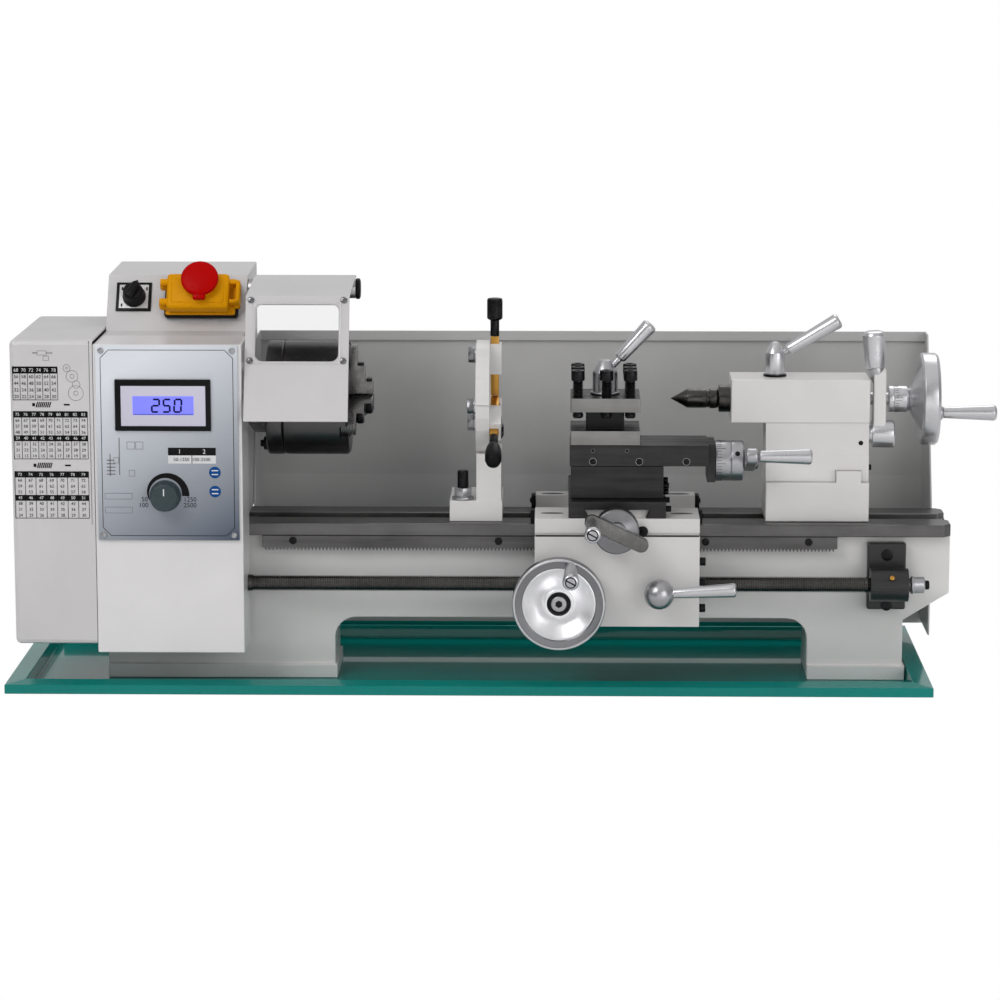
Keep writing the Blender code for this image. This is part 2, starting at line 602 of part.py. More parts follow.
def make_panel():
    """Thin front panel with the display's opening and the knob's hole."""
    front = CONTROL_FRONT - GAP - PANEL_THICK
    panel = plate("control_panel", "panel", "y", (front, front + PANEL_THICK),
                  rectangle((PANEL_LEFT, PANEL_BOTTOM), (PANEL_RIGHT, PANEL_TOP)),
                  [rectangle((-296, 236), (-223, 271))])
    return cut(panel, knob_hole())


def make_speed_knob():
    front = CONTROL_FRONT - GAP - PANEL_THICK - GAP
    profile = [(0, 15), (SPEED_RADIUS - 2.5, 15), (SPEED_RADIUS - 1, 13), (SPEED_RADIUS, 0), (KNOB_SHAFT, 0),
               (KNOB_SHAFT, -6.5), (0, -6.5)]
    return turned("speed_knob", "black", profile, (SPEED_X, front, SPEED_Z), (0, -1, 0), sides=28)


def slope_frame():
    """Directions of the headstock cover's sloping face: up the slope and out of it."""
    up = Vector((0, SLOPE_HEAD_Y - SLOPE_FOOT_Y, COVER_TOP - COVER_SHELF)).normalized()
    return up, Vector((0, -up.z, up.y))


def on_slope(x, along, out):
    """A point at x, so far up the slope and so far out of it."""
    up, outward = slope_frame()
    return Vector((x, SLOPE_FOOT_Y, COVER_SHELF)) + up * along + outward * out


def slope_plate(name, finish, low, high, outs, bevel=0.0):
    """A slab lying on the slope, from low to high as (x, along) and between two heights out of it."""
    up, outward = slope_frame()
    turn = Matrix((Vector((1, 0, 0)), up, outward)).transposed()
    slab = block(name, finish, (low[0], low[1], outs[0]), (high[0], high[1], outs[1]), bevel)
    slab.location = metres(*on_slope((low[0] + high[0]) / 2, (low[1] + high[1]) / 2, sum(outs) / 2))
    slab.rotation_euler = turn.to_euler()
    return slab


SELECTOR_X, SELECTOR_ALONG = -295, 33
SWITCH_LEFT, SWITCH_RIGHT, SWITCH_LOW, SWITCH_HIGH = -273, -201, 11, 47
SWITCH_BASE, SWITCH_LID = 10, 14
BUTTON_X, BUTTON_ALONG, BUTTON_RADIUS, STEM_RADIUS = -236, 36.5, 16.4, 6


def make_headstock_cover():
    """Sloped cover over headstock, belt and motor, open at the bottom and at the gear side."""
    left = GEAR_BOX_RIGHT + GAP
    outer = [(WAY_FRONT, BED_TOP + GAP), (COVER_REAR, BED_TOP + GAP), (COVER_REAR, COVER_BACK_TOP),
             (SLOPE_HEAD_Y, COVER_TOP), (SLOPE_FOOT_Y, COVER_SHELF), (WAY_FRONT, COVER_SHELF)]
    t = SHEET
    inner = [(WAY_FRONT + t, BED_TOP - 20), (COVER_REAR - t, BED_TOP - 20), (COVER_REAR - t, COVER_BACK_TOP - t),
             (SLOPE_HEAD_Y + 1, COVER_TOP - t), (SLOPE_FOOT_Y + 1, COVER_SHELF - t),
             (WAY_FRONT + t, COVER_SHELF - t)]
    cover = plate("headstock_cover", "paint", "x", (left, COVER_RIGHT), outer)
    inside = plate("cover_inside", None, "x", (left - 10, COVER_RIGHT - t), inner)
    nose = rod("nose_hole", None, (COVER_RIGHT - 8, SPINDLE_Y, SPINDLE_Z), (COVER_RIGHT + 8, SPINDLE_Y, SPINDLE_Z),
               SPINDLE_RADIUS + 4)
    rod_hole = rod("rod_hole", None, (COVER_RIGHT - 8, ROD_Y, ROD_Z), (COVER_RIGHT + 8, ROD_Y, ROD_Z),
                   ROD_TAIL + GAP)
    selector = rod("selector_hole", None, on_slope(SELECTOR_X, SELECTOR_ALONG, -8),
                   on_slope(SELECTOR_X, SELECTOR_ALONG, 8), KNOB_SHAFT + GAP, sides=16)
    return cut(cover, inside, nose, rod_hole, selector)


def make_selector():
    """Rotary switch knob with a pointer, on a short shaft."""
    out = slope_frame()[1]
    knob = turned("selector_knob", "black",
                  [(0, 11.5), (6, 11.5), (9, 9), (9.5, 0), (KNOB_SHAFT, 0), (KNOB_SHAFT, -6), (0, -6)],
                  on_slope(SELECTOR_X, SELECTOR_ALONG, GAP), out, sides=20)
    return join(knob, slope_plate("pointer", None, (SELECTOR_X - 4, SELECTOR_ALONG - 2),
                                  (SELECTOR_X + 4, SELECTOR_ALONG + 14), (4, 13), 1))


def make_stop_switch():
    """Yellow switch box with a hinged lid and the red stop button in the lid."""
    low, high = (SWITCH_LEFT, SWITCH_LOW), (SWITCH_RIGHT, SWITCH_HIGH)
    base = slope_plate("stop_switch_box", "yellow", low, high, (GAP, SWITCH_BASE), 1.5)
    foot, top = SWITCH_BASE + GAP, SWITCH_BASE + SWITCH_LID
    lid = slope_plate("stop_switch_lid", "yellow", low, high, (foot, top), 2.5)
    wall = 2
    pocket = slope_plate("lid_pocket", None, (low[0] + wall, low[1] + wall), (high[0] - wall, high[1] - wall),
                         (foot - 5, top - wall))
    hole = rod("stem_hole", None, on_slope(BUTTON_X, BUTTON_ALONG, foot - 5),
               on_slope(BUTTON_X, BUTTON_ALONG, top + 5), STEM_RADIUS + GAP)
    cut(lid, pocket, hole)
    latch = slope_plate("latch", None, (high[0] - 2, 16), (high[0] + 2, 36), (top - 8, top - 1))
    join(lid, latch)
    travel = 4
    button = turned("stop_button", "red",
                    [(0, 12), (BUTTON_RADIUS - 6, 11.3), (BUTTON_RADIUS - 1.5, 8.5), (BUTTON_RADIUS, 5.5),
                     (BUTTON_RADIUS - 1, 4), (STEM_RADIUS, 4), (STEM_RADIUS, travel - 13), (0, travel - 13)],
                    on_slope(BUTTON_X, BUTTON_ALONG, top + GAP), slope_frame()[1])
    return base, lid, button


# ---- guards ----
def bent_sheet(name, finish, outline, left, right, thickness):
    """Sheet metal bent along an outline in (y, z) and running from left to right."""
    bm = bmesh.new()
    near = [bm.verts.new(metres(left, y, z)) for y, z in outline]
    far = [bm.verts.new(metres(right, y, z)) for y, z in outline]
    for i in range(len(outline) - 1):
        bm.faces.new((near[i], near[i + 1], far[i + 1], far[i]))
    obj = mesh_object(name, bm, finish, (0, 0, 0))
    sheet = obj.modifiers.new("sheet", "SOLIDIFY")
    sheet.thickness = thickness * MM
    sheet.offset = -1
    sheet.use_even_offset = True
    return obj


def guard_face():
    """Directions of the guard's front face: down the face and into the guard."""
    (y0, z0), (y1, z1) = GUARD_OUTLINE[2:]
    down = Vector((0, y1 - y0, z1 - z0)).normalized()
    return down, Vector((0, -down.z, down.y))


def guard_slab(name, finish, x_span, down_span, in_span):
    """A slab parallel to the guard's front face."""
    down, inward = guard_face()
    turn = Matrix((Vector((1, 0, 0)), down, inward)).transposed()
    slab = block(name, finish, (x_span[0], down_span[0], in_span[0]), (x_span[1], down_span[1], in_span[1]))
    y, z = GUARD_OUTLINE[2]
    middle = Vector((sum(x_span) / 2, y, z)) + down * (sum(down_span) / 2) + inward * (sum(in_span) / 2)
    slab.location = metres(*middle)
    slab.rotation_euler = turn.to_euler()
    return slab


WINDOW_X, WINDOW_DOWN, WINDOW_MARGIN = (-182, -111), (8, 58), 9


def make_guard():
    """Chuck guard: bent sheet with a window opening, the pane behind it and the rod that it swings on."""
    sheet = bent_sheet("guard_sheet", "paint", GUARD_OUTLINE, GUARD_LEFT, GUARD_RIGHT, SHEET)
    cut(sheet, guard_slab("window_opening", None, WINDOW_X, WINDOW_DOWN, (-5, 8)))
    m = WINDOW_MARGIN
    pane = guard_slab("guard_window", "clear", (GUARD_LEFT + 1, GUARD_RIGHT - 1),
                      (WINDOW_DOWN[0] - 5, WINDOW_DOWN[1] + m), (SHEET + GAP, SHEET + GAP + WINDOW_THICK))
    thin = ROD_TAIL
    start = COVER_RIGHT + GAP
    profile = [(0, ROD_END), (ROD_RADIUS + 1, ROD_END), (ROD_RADIUS + 1, GUARD_RIGHT + GAP),
               (ROD_RADIUS, GUARD_RIGHT + GAP), (ROD_RADIUS, start), (thin, start), (thin, start - 28),
               (0, start - 28)]
    bar = turned("guard_rod", "black", profile, (0, ROD_Y, ROD_Z), (1, 0, 0), sides=28)
    return sheet, pane, bar


def make_splash_guard():
    """Back panel with a hemmed top edge, a foot on the tray and a flange at each end."""
    foot = TRAY_SHEET + GAP + SPLASH_SHEET
    outline = [(SPLASH_FOOT_Y - 14, foot), (SPLASH_FOOT_Y, foot), (SPLASH_BACK, SPLASH_FOLD),
               (SPLASH_BACK, SPLASH_TOP)]
    panel = bent_sheet("splash_guard", "grey_sheet", outline, SPLASH_LEFT, SPLASH_RIGHT, -SPLASH_SHEET)
    hem = block("hem", None, (SPLASH_LEFT, SPLASH_BACK - HEM_DEPTH, SPLASH_TOP - HEM_HEIGHT),
                (SPLASH_RIGHT, SPLASH_BACK + 1, SPLASH_TOP + GAP))
    join(panel, hem)
    for left, right in ((SPLASH_FEET[0][1], SPLASH_FEET[1][0]), (SPLASH_FEET[1][1], SPLASH_RIGHT + 10)):
        cut(panel, block("skirt_clearance", None, (left, 0, -10), (right, SPLASH_BACK + 20, SPLASH_SKIRT)))
    clear = WAY_REAR + 3
    for left in (SPLASH_LEFT, SPLASH_RIGHT - SPLASH_SHEET):
        front = 91 if left > 0 else 62
        side = [(front, SPLASH_TOP), (clear, BED_TOP + 4), (clear, 24), (SPLASH_FOOT_Y + 2, 24),
                (SPLASH_BACK + 0.5, SPLASH_FOLD), (SPLASH_BACK + 0.5, SPLASH_TOP)]
        join(panel, plate("flange", None, "x", (left, left + SPLASH_SHEET), side))
    return panel


# ---- leadscrew ----
def make_leadscrew():
    """Leadscrew with thinner journals and an end nut."""
    journal = JOURNAL_RADIUS
    left = BED_LEFT - GAP - 6 - 6 - GAP
    profile = [(0, 400), (8, 400), (8, 384), (journal, 384), (journal, END_BRACKET_LEFT - 1),
               (LEADSCREW_RADIUS, END_BRACKET_LEFT - 1), (LEADSCREW_RADIUS, BED_LEFT + GAP),
               (journal, BED_LEFT + GAP), (journal, left - 20), (0, left - 20)]
    return turned("leadscrew", "dark_steel", profile, (0, LEADSCREW_Y, LEADSCREW_Z), (1, 0, 0), sides=24)


def make_end_bracket():
    """Bracket at the tailstock end that carries the leadscrew."""
    rear, front = WEB_FRONT - GAP, WEB_FRONT - 10
    bracket = block("leadscrew_bracket", "black", (END_BRACKET_LEFT, front, 66), (END_BRACKET_RIGHT, rear, 125), 1.5)
    boss = rod("boss", None, (END_BRACKET_LEFT + 1, LEADSCREW_Y, LEADSCREW_Z),
               (END_BRACKET_RIGHT + 0.5, LEADSCREW_Y, LEADSCREW_Z), 14.5, sides=32)
    neck = block("neck", None, (END_BRACKET_LEFT + 1.5, LEADSCREW_Y, LEADSCREW_Z - 13),
                 (END_BRACKET_RIGHT - 0.5, front + 2, LEADSCREW_Z + 13))
    join(bracket, boss, neck)
    return cut(bracket, rod("journal_hole", None, (END_BRACKET_LEFT - 5, LEADSCREW_Y, LEADSCREW_Z),
                            (END_BRACKET_RIGHT + 5, LEADSCREW_Y, LEADSCREW_Z), JOURNAL_RADIUS + GAP))


# ---- carriage ----
WHEEL_X, WHEEL_Z, WHEEL_RADIUS = 78, 85, 40
LEVER_X, LEVER_Z = 164, 92
SHAFT_RADIUS = 4


def rack_gear_place():
    """Axis of the pinion under the rack, in mesh with the rack and the handwheel's pinion."""
    z = RACK_BOTTOM + RACK_MODULE - PINION_TEETH * RACK_MODULE / 2
    reach = RACK_MODULE * (REDUCTION_TEETH + WHEEL_TEETH) / 2
    return WHEEL_X + math.sqrt(reach ** 2 - (z - WHEEL_Z) ** 2), z


def ridge_outline(middle, half, foot, height, flare, gap=0.0):
    """A dovetail, wider at its top; gap grows it into the matching groove."""
    return [(middle - half + flare - gap, foot), (middle - half - gap, foot + height + gap),
            (middle + half + gap, foot + height + gap), (middle + half - flare + gap, foot)]


def make_saddle():
    """H-shaped saddle on the ways, with the cross slide's dovetail on top."""
    low = BED_TOP + GAP
    saddle = block("saddle", "paint", (SADDLE_LEFT, SADDLE_FRONT, low), (SADDLE_RIGHT, WING_EDGE, SADDLE_TOP))
    bridge = block("bridge", None, (CROSS_LEFT, WING_EDGE - 8, low), (CROSS_RIGHT, REAR_WING_EDGE + 8, SADDLE_TOP - 0.2))
    wing = block("rear_wing", None, (SADDLE_LEFT, REAR_WING_EDGE, low), (SADDLE_RIGHT, SADDLE_REAR, SADDLE_TOP))
    edge = 0.5                      # the rails stop short of the wings' sides
    front = block("front_rail", None, (SADDLE_LEFT + edge, SADDLE_FRONT + edge, APRON_TOP + GAP),
                  (SADDLE_RIGHT - edge, WAY_FRONT - GAP, SADDLE_TOP - 2))
    rear = block("rear_keeper", None, (SADDLE_LEFT + edge, WAY_REAR + GAP, BED_TOP - WAY_THICKNESS - 4),
                 (SADDLE_RIGHT - edge, SADDLE_REAR - edge, SADDLE_TOP - 2))
    ridge = plate("ridge", None, "y", (SADDLE_FRONT + 8, SADDLE_REAR - edge),
                  ridge_outline(SWIVEL_X, 28, SADDLE_TOP - 1, DOVETAIL_HEIGHT + 1, DOVETAIL_FLARE))
    join(saddle, bridge, wing, front, rear, ridge)
    return cut(saddle, rod("screw_bore", None, (CROSS_SCREW_X, SADDLE_FRONT - 10, CROSS_SCREW_Z),
                           (CROSS_SCREW_X, 20, CROSS_SCREW_Z), CROSS_SCREW_RADIUS + GAP, sides=16))


def make_apron():
    """Apron box, open behind, with holes for the leadscrew, handwheel, pinion shaft and lever."""
    w = APRON_WALL
    apron = block("apron", "paint", (SADDLE_LEFT, APRON_FRONT, APRON_BOTTOM), (SADDLE_RIGHT, APRON_REAR, APRON_TOP))
    inside = block("apron_inside", None, (SADDLE_LEFT + w, APRON_FRONT + w + 2, APRON_BOTTOM + w),
                   (SADDLE_RIGHT - w, APRON_REAR + 10, APRON_TOP - 1.5))
    screw = rod("screw_way", None, (SADDLE_LEFT - 5, LEADSCREW_Y, LEADSCREW_Z),
                (SADDLE_RIGHT + 5, LEADSCREW_Y, LEADSCREW_Z), LEADSCREW_RADIUS + GAP)
    holes = []
    for x, z, radius in ((WHEEL_X, WHEEL_Z, 6), (*rack_gear_place(), SHAFT_RADIUS), (LEVER_X, LEVER_Z, 5)):
        front = APRON_FRONT + (5 if radius == SHAFT_RADIUS else -5)
        holes.append(rod("shaft_hole", None, (x, front, z), (x, APRON_FRONT + w + 6, z), radius + GAP))
    return cut(apron, inside, screw, *holes)


def crank_handle(name, start, end, radius=5, end_radius=7):
    """A tapered handle."""
    return rod(name, None, start, end, radius, end_radius, sides=16)


def make_carriage_wheel():
    """Dished handwheel with its shaft, pinion and handle."""
    w, face = WHEEL_RADIUS, -APRON_FRONT
    profile = [(0, face + 29), (7, face + 29), (7, face + 26), (13, face + 26), (13, face + 17),
               (31, face + 22), (w - 2, face + 30), (w, face + 29), (w, face + 19), (w - 5, face + 16),
               (28, face + 10), (13, face + 8), (13, face + GAP), (6, face + GAP), (6, face - 10 - GAP),
               (0, face - 10 - GAP)]
    wheel = turned("carriage_handwheel", "bright", profile, (WHEEL_X, 0, WHEEL_Z), (0, -1, 0), sides=36)
    gear_x, gear_z = rack_gear_place()
    rear = APRON_FRONT + 18
    teeth = plate("wheel_pinion", None, "y", (APRON_FRONT + 10 + GAP, rear),
                  gear_outline(WHEEL_TEETH, RACK_MODULE, math.atan2(gear_z - WHEEL_Z, gear_x - WHEEL_X)),
                  origin=(WHEEL_X, WHEEL_Z))
    grip = crank_handle("grip", (WHEEL_X + 10, APRON_FRONT - 22, WHEEL_Z + 31.5),
                        (WHEEL_X + 10, -200, WHEEL_Z + 31.5))
    return join(wheel, teeth, grip)


def make_rack_gear():
    """Reduction gear and rack pinion on one shaft."""
    x, z = rack_gear_place()
    heading = math.atan2(z - WHEEL_Z, x - WHEEL_X)
    phase = meshing_phase(WHEEL_TEETH, heading, REDUCTION_TEETH, heading)
    front = APRON_FRONT + 11
    gear = plate("rack_gear", "steel", "y", (front, front + 6), gear_outline(REDUCTION_TEETH, RACK_MODULE, phase),
                 origin=(x, z))
    shaft = rod("gear_shaft", None, (x, APRON_FRONT + 5.5, z), (x, WEB_FRONT - 2, z), SHAFT_RADIUS)
    step = math.pi * RACK_MODULE
    offset = ((x - RACK_LEFT) / step) % 1
    shift = (0.5 - offset) * step * 2 / (PINION_TEETH * RACK_MODULE)
    rear = WEB_FRONT - GAP
    pinion = plate("rack_pinion", None, "y", (rear - RACK_DEPTH, rear),
                   gear_outline(PINION_TEETH, RACK_MODULE, math.pi / 2 - shift), origin=(x, z))
    return join(gear, shaft, pinion)


def make_half_nut():
    """Half nut under the leadscrew; the lever raises it to grip the thread."""
    nut = block("half_nut", "brass", (150, APRON_FRONT + 10 + GAP, 68.5), (178, APRON_REAR - 2, 82.5))
    return cut(nut, rod("thread_seat", None, (140, LEADSCREW_Y, LEADSCREW_Z - HALF_NUT_LIFT),
                        (190, LEADSCREW_Y, LEADSCREW_Z - HALF_NUT_LIFT), LEADSCREW_RADIUS + GAP))


HALF_NUT_LIFT = 7.5


def make_half_nut_lever():
    """Ball-ended lever on the apron."""
    face = -APRON_FRONT
    ball = [(0, face + 31)] + [(r, face + 18 + h) for r, h in
                               ((13 * math.sin(math.radians(a)), 13 * math.cos(math.radians(a)))
                                for a in range(20, 151, 13))]
    profile = ball + [(6.5, face + GAP), (5, face + GAP), (5, face - 9), (0, face - 9)]
    lever = turned("half_nut_lever", "bright", profile, (LEVER_X, 0, LEVER_Z), (0, -1, 0), sides=20)
    y = APRON_FRONT - 18
    arm = rod("arm", None, (LEVER_X + 8, y, LEVER_Z + 1), (LEVER_X + 66, y - 4, LEVER_Z + 5), 4.3, 6)
    return join(lever, arm)


def make_cross_slide():
    slide = block("cross_slide", "dark_steel", (CROSS_LEFT, CROSS_FRONT, SADDLE_TOP + GAP),
                  (CROSS_RIGHT, CROSS_REAR, CROSS_TOP))
    groove = plate("groove", None, "y", (CROSS_FRONT - 5, CROSS_REAR + 5),
                   ridge_outline(SWIVEL_X, 28, SADDLE_TOP - 1, DOVETAIL_HEIGHT + 1, DOVETAIL_FLARE, GAP))
    return cut(slide, groove)


def make_cross_crank():
    """Cross-feed screw, graduated collar and double-ended crank."""
    face = -APRON_FRONT + GAP
    profile = [(0, face + 30), (8, face + 30), (8, face + 24), (19.5, face + 22), (19.5, face + 10),
               (16, face + 8), (16, face), (CROSS_SCREW_RADIUS, face), (CROSS_SCREW_RADIUS, -15), (0, -15)]
    crank = turned("cross_crank", "bright", profile, (CROSS_SCREW_X, 0, CROSS_SCREW_Z), (0, -1, 0), sides=28)
    y = APRON_FRONT - 24
    tilt = math.radians(25)
    ends = [(CROSS_SCREW_X + s * 23 * math.cos(tilt), CROSS_SCREW_Z - s * 23 * math.sin(tilt)) for s in (-1, 1)]
    arm = plate("crank_arm", None, "y", (y - 8, y), around([(end, 6.5) for end in ends], 24))
    grip = crank_handle("grip", (ends[0][0], y - 6, ends[0][1]), (ends[0][0], -200, ends[0][1]))
    return join(crank, arm, grip)


# ---- compound ----
def make_swivel_base():
    """Turning base of the top slide, with a round foot and a dovetail."""
    hx, hy = SWIVEL_HALF
    foot = CROSS_TOP + GAP
    base = block("compound_base", "dark_steel", (SWIVEL_X - hx, SWIVEL_Y - hy, foot),
                 (SWIVEL_X + hx, SWIVEL_Y + hy, SWIVEL_TOP))
    ridge = plate("ridge", None, "x", (SWIVEL_X - hx, SWIVEL_X + hx),
                  ridge_outline(SWIVEL_Y, 16, SWIVEL_TOP - 1, 8, 3.5))
    join(base, ridge)
    return cut(base, rod("screw_bore", None, (SWIVEL_X - hx - 5, SWIVEL_Y, TOP_SCREW_Z),
                         (SWIVEL_X + hx + 5, SWIVEL_Y, TOP_SCREW_Z), TOP_SCREW_RADIUS + GAP, sides=16))


def make_top_slide():
    """Top slide with its end plate and the stud of the tool post."""
    low = SWIVEL_TOP + GAP
    slide = block("top_slide", "dark_steel", (SLIDE_LEFT, SWIVEL_Y - SLIDE_HALF, low),
                  (SLIDE_RIGHT, SWIVEL_Y + SLIDE_HALF, SLIDE_TOP))
    end = block("end_plate", None, (SLIDE_RIGHT - 1, SWIVEL_Y - 20, TOP_SCREW_Z - 16),
                (SLIDE_RIGHT + 6, SWIVEL_Y + 20, SLIDE_TOP))
    stud = rod("post_stud", None, (POST_X, SWIVEL_Y, SLIDE_TOP - 4), (POST_X, SWIVEL_Y, POST_LEVELS[3] + 12),
               STUD_RADIUS)
    groove = plate("groove", None, "x", (SLIDE_LEFT - 5, SLIDE_RIGHT - 2),
                   ridge_outline(SWIVEL_Y, 16, SWIVEL_TOP - 1, 8, 3.5, GAP))
    screw = rod("screw_hole", None, (SLIDE_RIGHT - 10, SWIVEL_Y, TOP_SCREW_Z),
                (SLIDE_RIGHT + 10, SWIVEL_Y, TOP_SCREW_Z), TOP_SCREW_RADIUS + GAP, sides=16)
    cut(slide, groove)
    join(slide, end, stud)
    return cut(slide, screw)


CRANK_REACH, CRANK_RISE = 47, 13.5


def make_top_crank():
    """Compound screw, graduated collar, crank and handle."""
    left = SLIDE_RIGHT + 6 + GAP
    profile = [(0, left + 35), (9, left + 35), (9, left + 25), (17.5, left + 24), (17.5, left + 0.7),
               (17, left), (TOP_SCREW_RADIUS, left), (TOP_SCREW_RADIUS, SWIVEL_X - 30), (0, SWIVEL_X - 30)]
    crank = turned("compound_crank", "bright", profile, (0, SWIVEL_Y, TOP_SCREW_Z), (1, 0, 0), sides=28)
    end = (SWIVEL_Y - CRANK_REACH * math.cos(math.radians(CRANK_RISE)),
           TOP_SCREW_Z + CRANK_REACH * math.sin(math.radians(CRANK_RISE)))
    arm = plate("crank_arm", None, "x", (left + 25, left + 34),
                around([((SWIVEL_Y, TOP_SCREW_Z), 9), (end, 7)], 24))
    grip = crank_handle("grip", (left + 32, *end), (295, *end))
    return join(crank, arm, grip)


def make_tool_post():
    """Four-way tool post: two square plates on a square waist."""
    foot, slot_low, slot_high, top = POST_LEVELS
    half, waist = POST_HALF, POST_WAIST
    post = block("tool_post", "steel", (POST_X - half, SWIVEL_Y - half, foot), (POST_X + half, SWIVEL_Y + half, slot_low))
    core = block("waist", None, (POST_X - waist, SWIVEL_Y - waist, slot_low - 1),
                 (POST_X + waist, SWIVEL_Y + waist, slot_high + 1))
    upper = block("upper_plate", None, (POST_X - half, SWIVEL_Y - half, slot_high),
                  (POST_X + half, SWIVEL_Y + half, top))
    join(post, core, upper)
    return cut(post, rod("stud_hole", None, (POST_X, SWIVEL_Y, foot - 5), (POST_X, SWIVEL_Y, top + 5),
                         STUD_RADIUS + GAP))


def make_post_lever():
    """Clamping lever on the tool post's stud."""
    low = POST_LEVELS[3] + GAP
    hub = turned("tool_post_lever", "bright",
                 [(0, low + 31), (4, low + 31), (12, low + 19), (12, low), (STUD_RADIUS + GAP, low),
                  (STUD_RADIUS + GAP, low + 14), (0, low + 14)], (POST_X, SWIVEL_Y, 0), (0, 0, 1), sides=28)
    arm = rod("arm", None, (POST_X + 5, SWIVEL_Y, low + 23), (POST_X + 16, SWIVEL_Y, low + 34), 3)
    grip = rod("grip", None, (POST_X + 14, SWIVEL_Y, low + 32), (POST_X + 39, SWIVEL_Y, low + 60), 4.5, 6.5)
    return join(hub, arm, grip)


# ---- tailstock ----
KEY_LEFT, KEY_RIGHT, KEY_TOP = 320, 342, 186


def make_tail_base():
    """Foot of the tailstock, with a tongue between the ways and a key on top."""
    base = block("tailstock_base", "paint", (TAIL_BASE_LEFT, SPINDLE_Y - 30, BED_TOP + GAP),
                 (TAIL_BASE_RIGHT, SPINDLE_Y + 36, TAIL_BASE_TOP))
    tongue = block("tongue", None, (TAIL_BASE_LEFT + 15, GAP_FRONT + GAP, BED_TOP - 18),
                   (TAIL_BASE_RIGHT - 15, GAP_REAR - GAP, BED_TOP + 2))
    key = block("key", None, (KEY_LEFT, SPINDLE_Y - 30, TAIL_BASE_TOP - 2), (KEY_RIGHT, SPINDLE_Y + 26, KEY_TOP))
    return join(base, tongue, key)


def make_tail_body():
    """Tailstock casting: barrel on a body, bored for the quill and the locks."""
    front, rear = SPINDLE_Y - BARREL_HALF, SPINDLE_Y + BARREL_HALF
    body = block("tailstock_body", "paint", (TAIL_BODY_LEFT, front, BARREL_BOTTOM),
                 (TAIL_BASE_RIGHT, rear, BARREL_TOP), 0.8)
    lower = block("lower_body", None, (TAIL_BASE_LEFT, front + 1.2, TAIL_BASE_TOP + 4),
                  (TAIL_BASE_RIGHT - 0.5, rear - 1.2, BARREL_BOTTOM + 2))
    foot = block("foot", None, (TAIL_BASE_LEFT + 0.3, front + 0.8, TAIL_BASE_TOP + GAP),
                 (TAIL_BASE_RIGHT - 0.3, rear + 4, 199))
    join(body, lower, foot)
    notch = block("notch", None, (KEY_LEFT - GAP, front - 20, TAIL_BASE_TOP - 5),
                  (KEY_RIGHT + GAP, rear + 20, KEY_TOP + GAP))
    quill = rod("quill_bore", None, (TAIL_BODY_LEFT - 5, SPINDLE_Y, SPINDLE_Z), (338, SPINDLE_Y, SPINDLE_Z),
                QUILL_RADIUS + GAP, sides=32)
    screw = rod("screw_bore", None, (330, SPINDLE_Y, SPINDLE_Z), (355, SPINDLE_Y, SPINDLE_Z), 5 + GAP)
    lock = rod("lock_bore", None, (QUILL_LOCK_X, SPINDLE_Y, SPINDLE_Z), (QUILL_LOCK_X, SPINDLE_Y, BARREL_TOP + 5),
               4 + GAP, sides=16)
    cam = rod("cam_bore", None, (322, CLAMP_Y, CLAMP_Z), (355, CLAMP_Y, CLAMP_Z), 8 + GAP)
    return cut(body, notch, quill, screw, lock, cam)


QUILL_LOCK_X = 267


def make_quill():
    """Quill: taper socket in front, nut thread behind."""
    socket, thread = SHANK_RADIUS + GAP, 5 + GAP
    profile = [(thread, QUILL_RIGHT), (QUILL_RADIUS, QUILL_RIGHT), (QUILL_RADIUS, QUILL_LEFT + 0.8),
               (QUILL_RADIUS - 0.8, QUILL_LEFT), (socket, QUILL_LEFT), (socket, QUILL_LEFT + 45),
               (thread, QUILL_LEFT + 45)]
    return spindle_turned("quill", "dark_steel", profile, closed=True, sides=32)


def make_dead_centre():
    """Dead centre: cone point, body and a shank in the quill."""
    r = CENTRE_RADIUS
    shoulder = QUILL_LEFT - GAP
    profile = [(0, QUILL_LEFT + 40), (SHANK_RADIUS - 1, QUILL_LEFT + 40), (SHANK_RADIUS, shoulder), (r - 0.4, shoulder),
               (r - 0.4, 209.5), (r, 209.5), (r, CENTRE_TIP + 14.5), (0, CENTRE_TIP)]
    return spindle_turned("dead_centre", "steel", profile, sides=28)


def make_tail_wheel():
    """Tailstock handwheel, graduated collar and quill screw."""
    end = TAIL_BASE_RIGHT + GAP
    profile = [(0, 408), (8, 408), (8, 404), (30, 403), (34, 409.6), (38, 410), (40.5, 408), (40.5, 396),
               (38, 394), (33, 394), (30, 397), (12, 386), (9, 384), (11.5, 383.5), (11.5, 366.5), (5.5, 366.5),
               (5.5, end), (5, end), (5, 285), (0, 285)]
    wheel = spindle_turned("tailstock_handwheel", "bright", profile, sides=36)
    y, z = SPINDLE_Y - 28, SPINDLE_Z - 8
    return join(wheel, crank_handle("grip", (402, y, z), (459, y, z), 5, 7))


def make_quill_lock():
    """Quill clamping lever on top of the barrel."""
    low = BARREL_TOP + GAP
    tip = SPINDLE_Z + QUILL_RADIUS + 1
    hub = turned("quill_lock_lever", "bright",
                 [(0, 296), (3, 296), (8.6, 287), (8.6, low), (4, low), (4, tip), (0, tip)],
                 (QUILL_LOCK_X, SPINDLE_Y, 0), (0, 0, 1), sides=24)
    arm = rod("arm", None, (QUILL_LOCK_X + 4, SPINDLE_Y, 285), (QUILL_LOCK_X + 56, SPINDLE_Y, 316), 3.2, 6)
    return join(hub, arm)


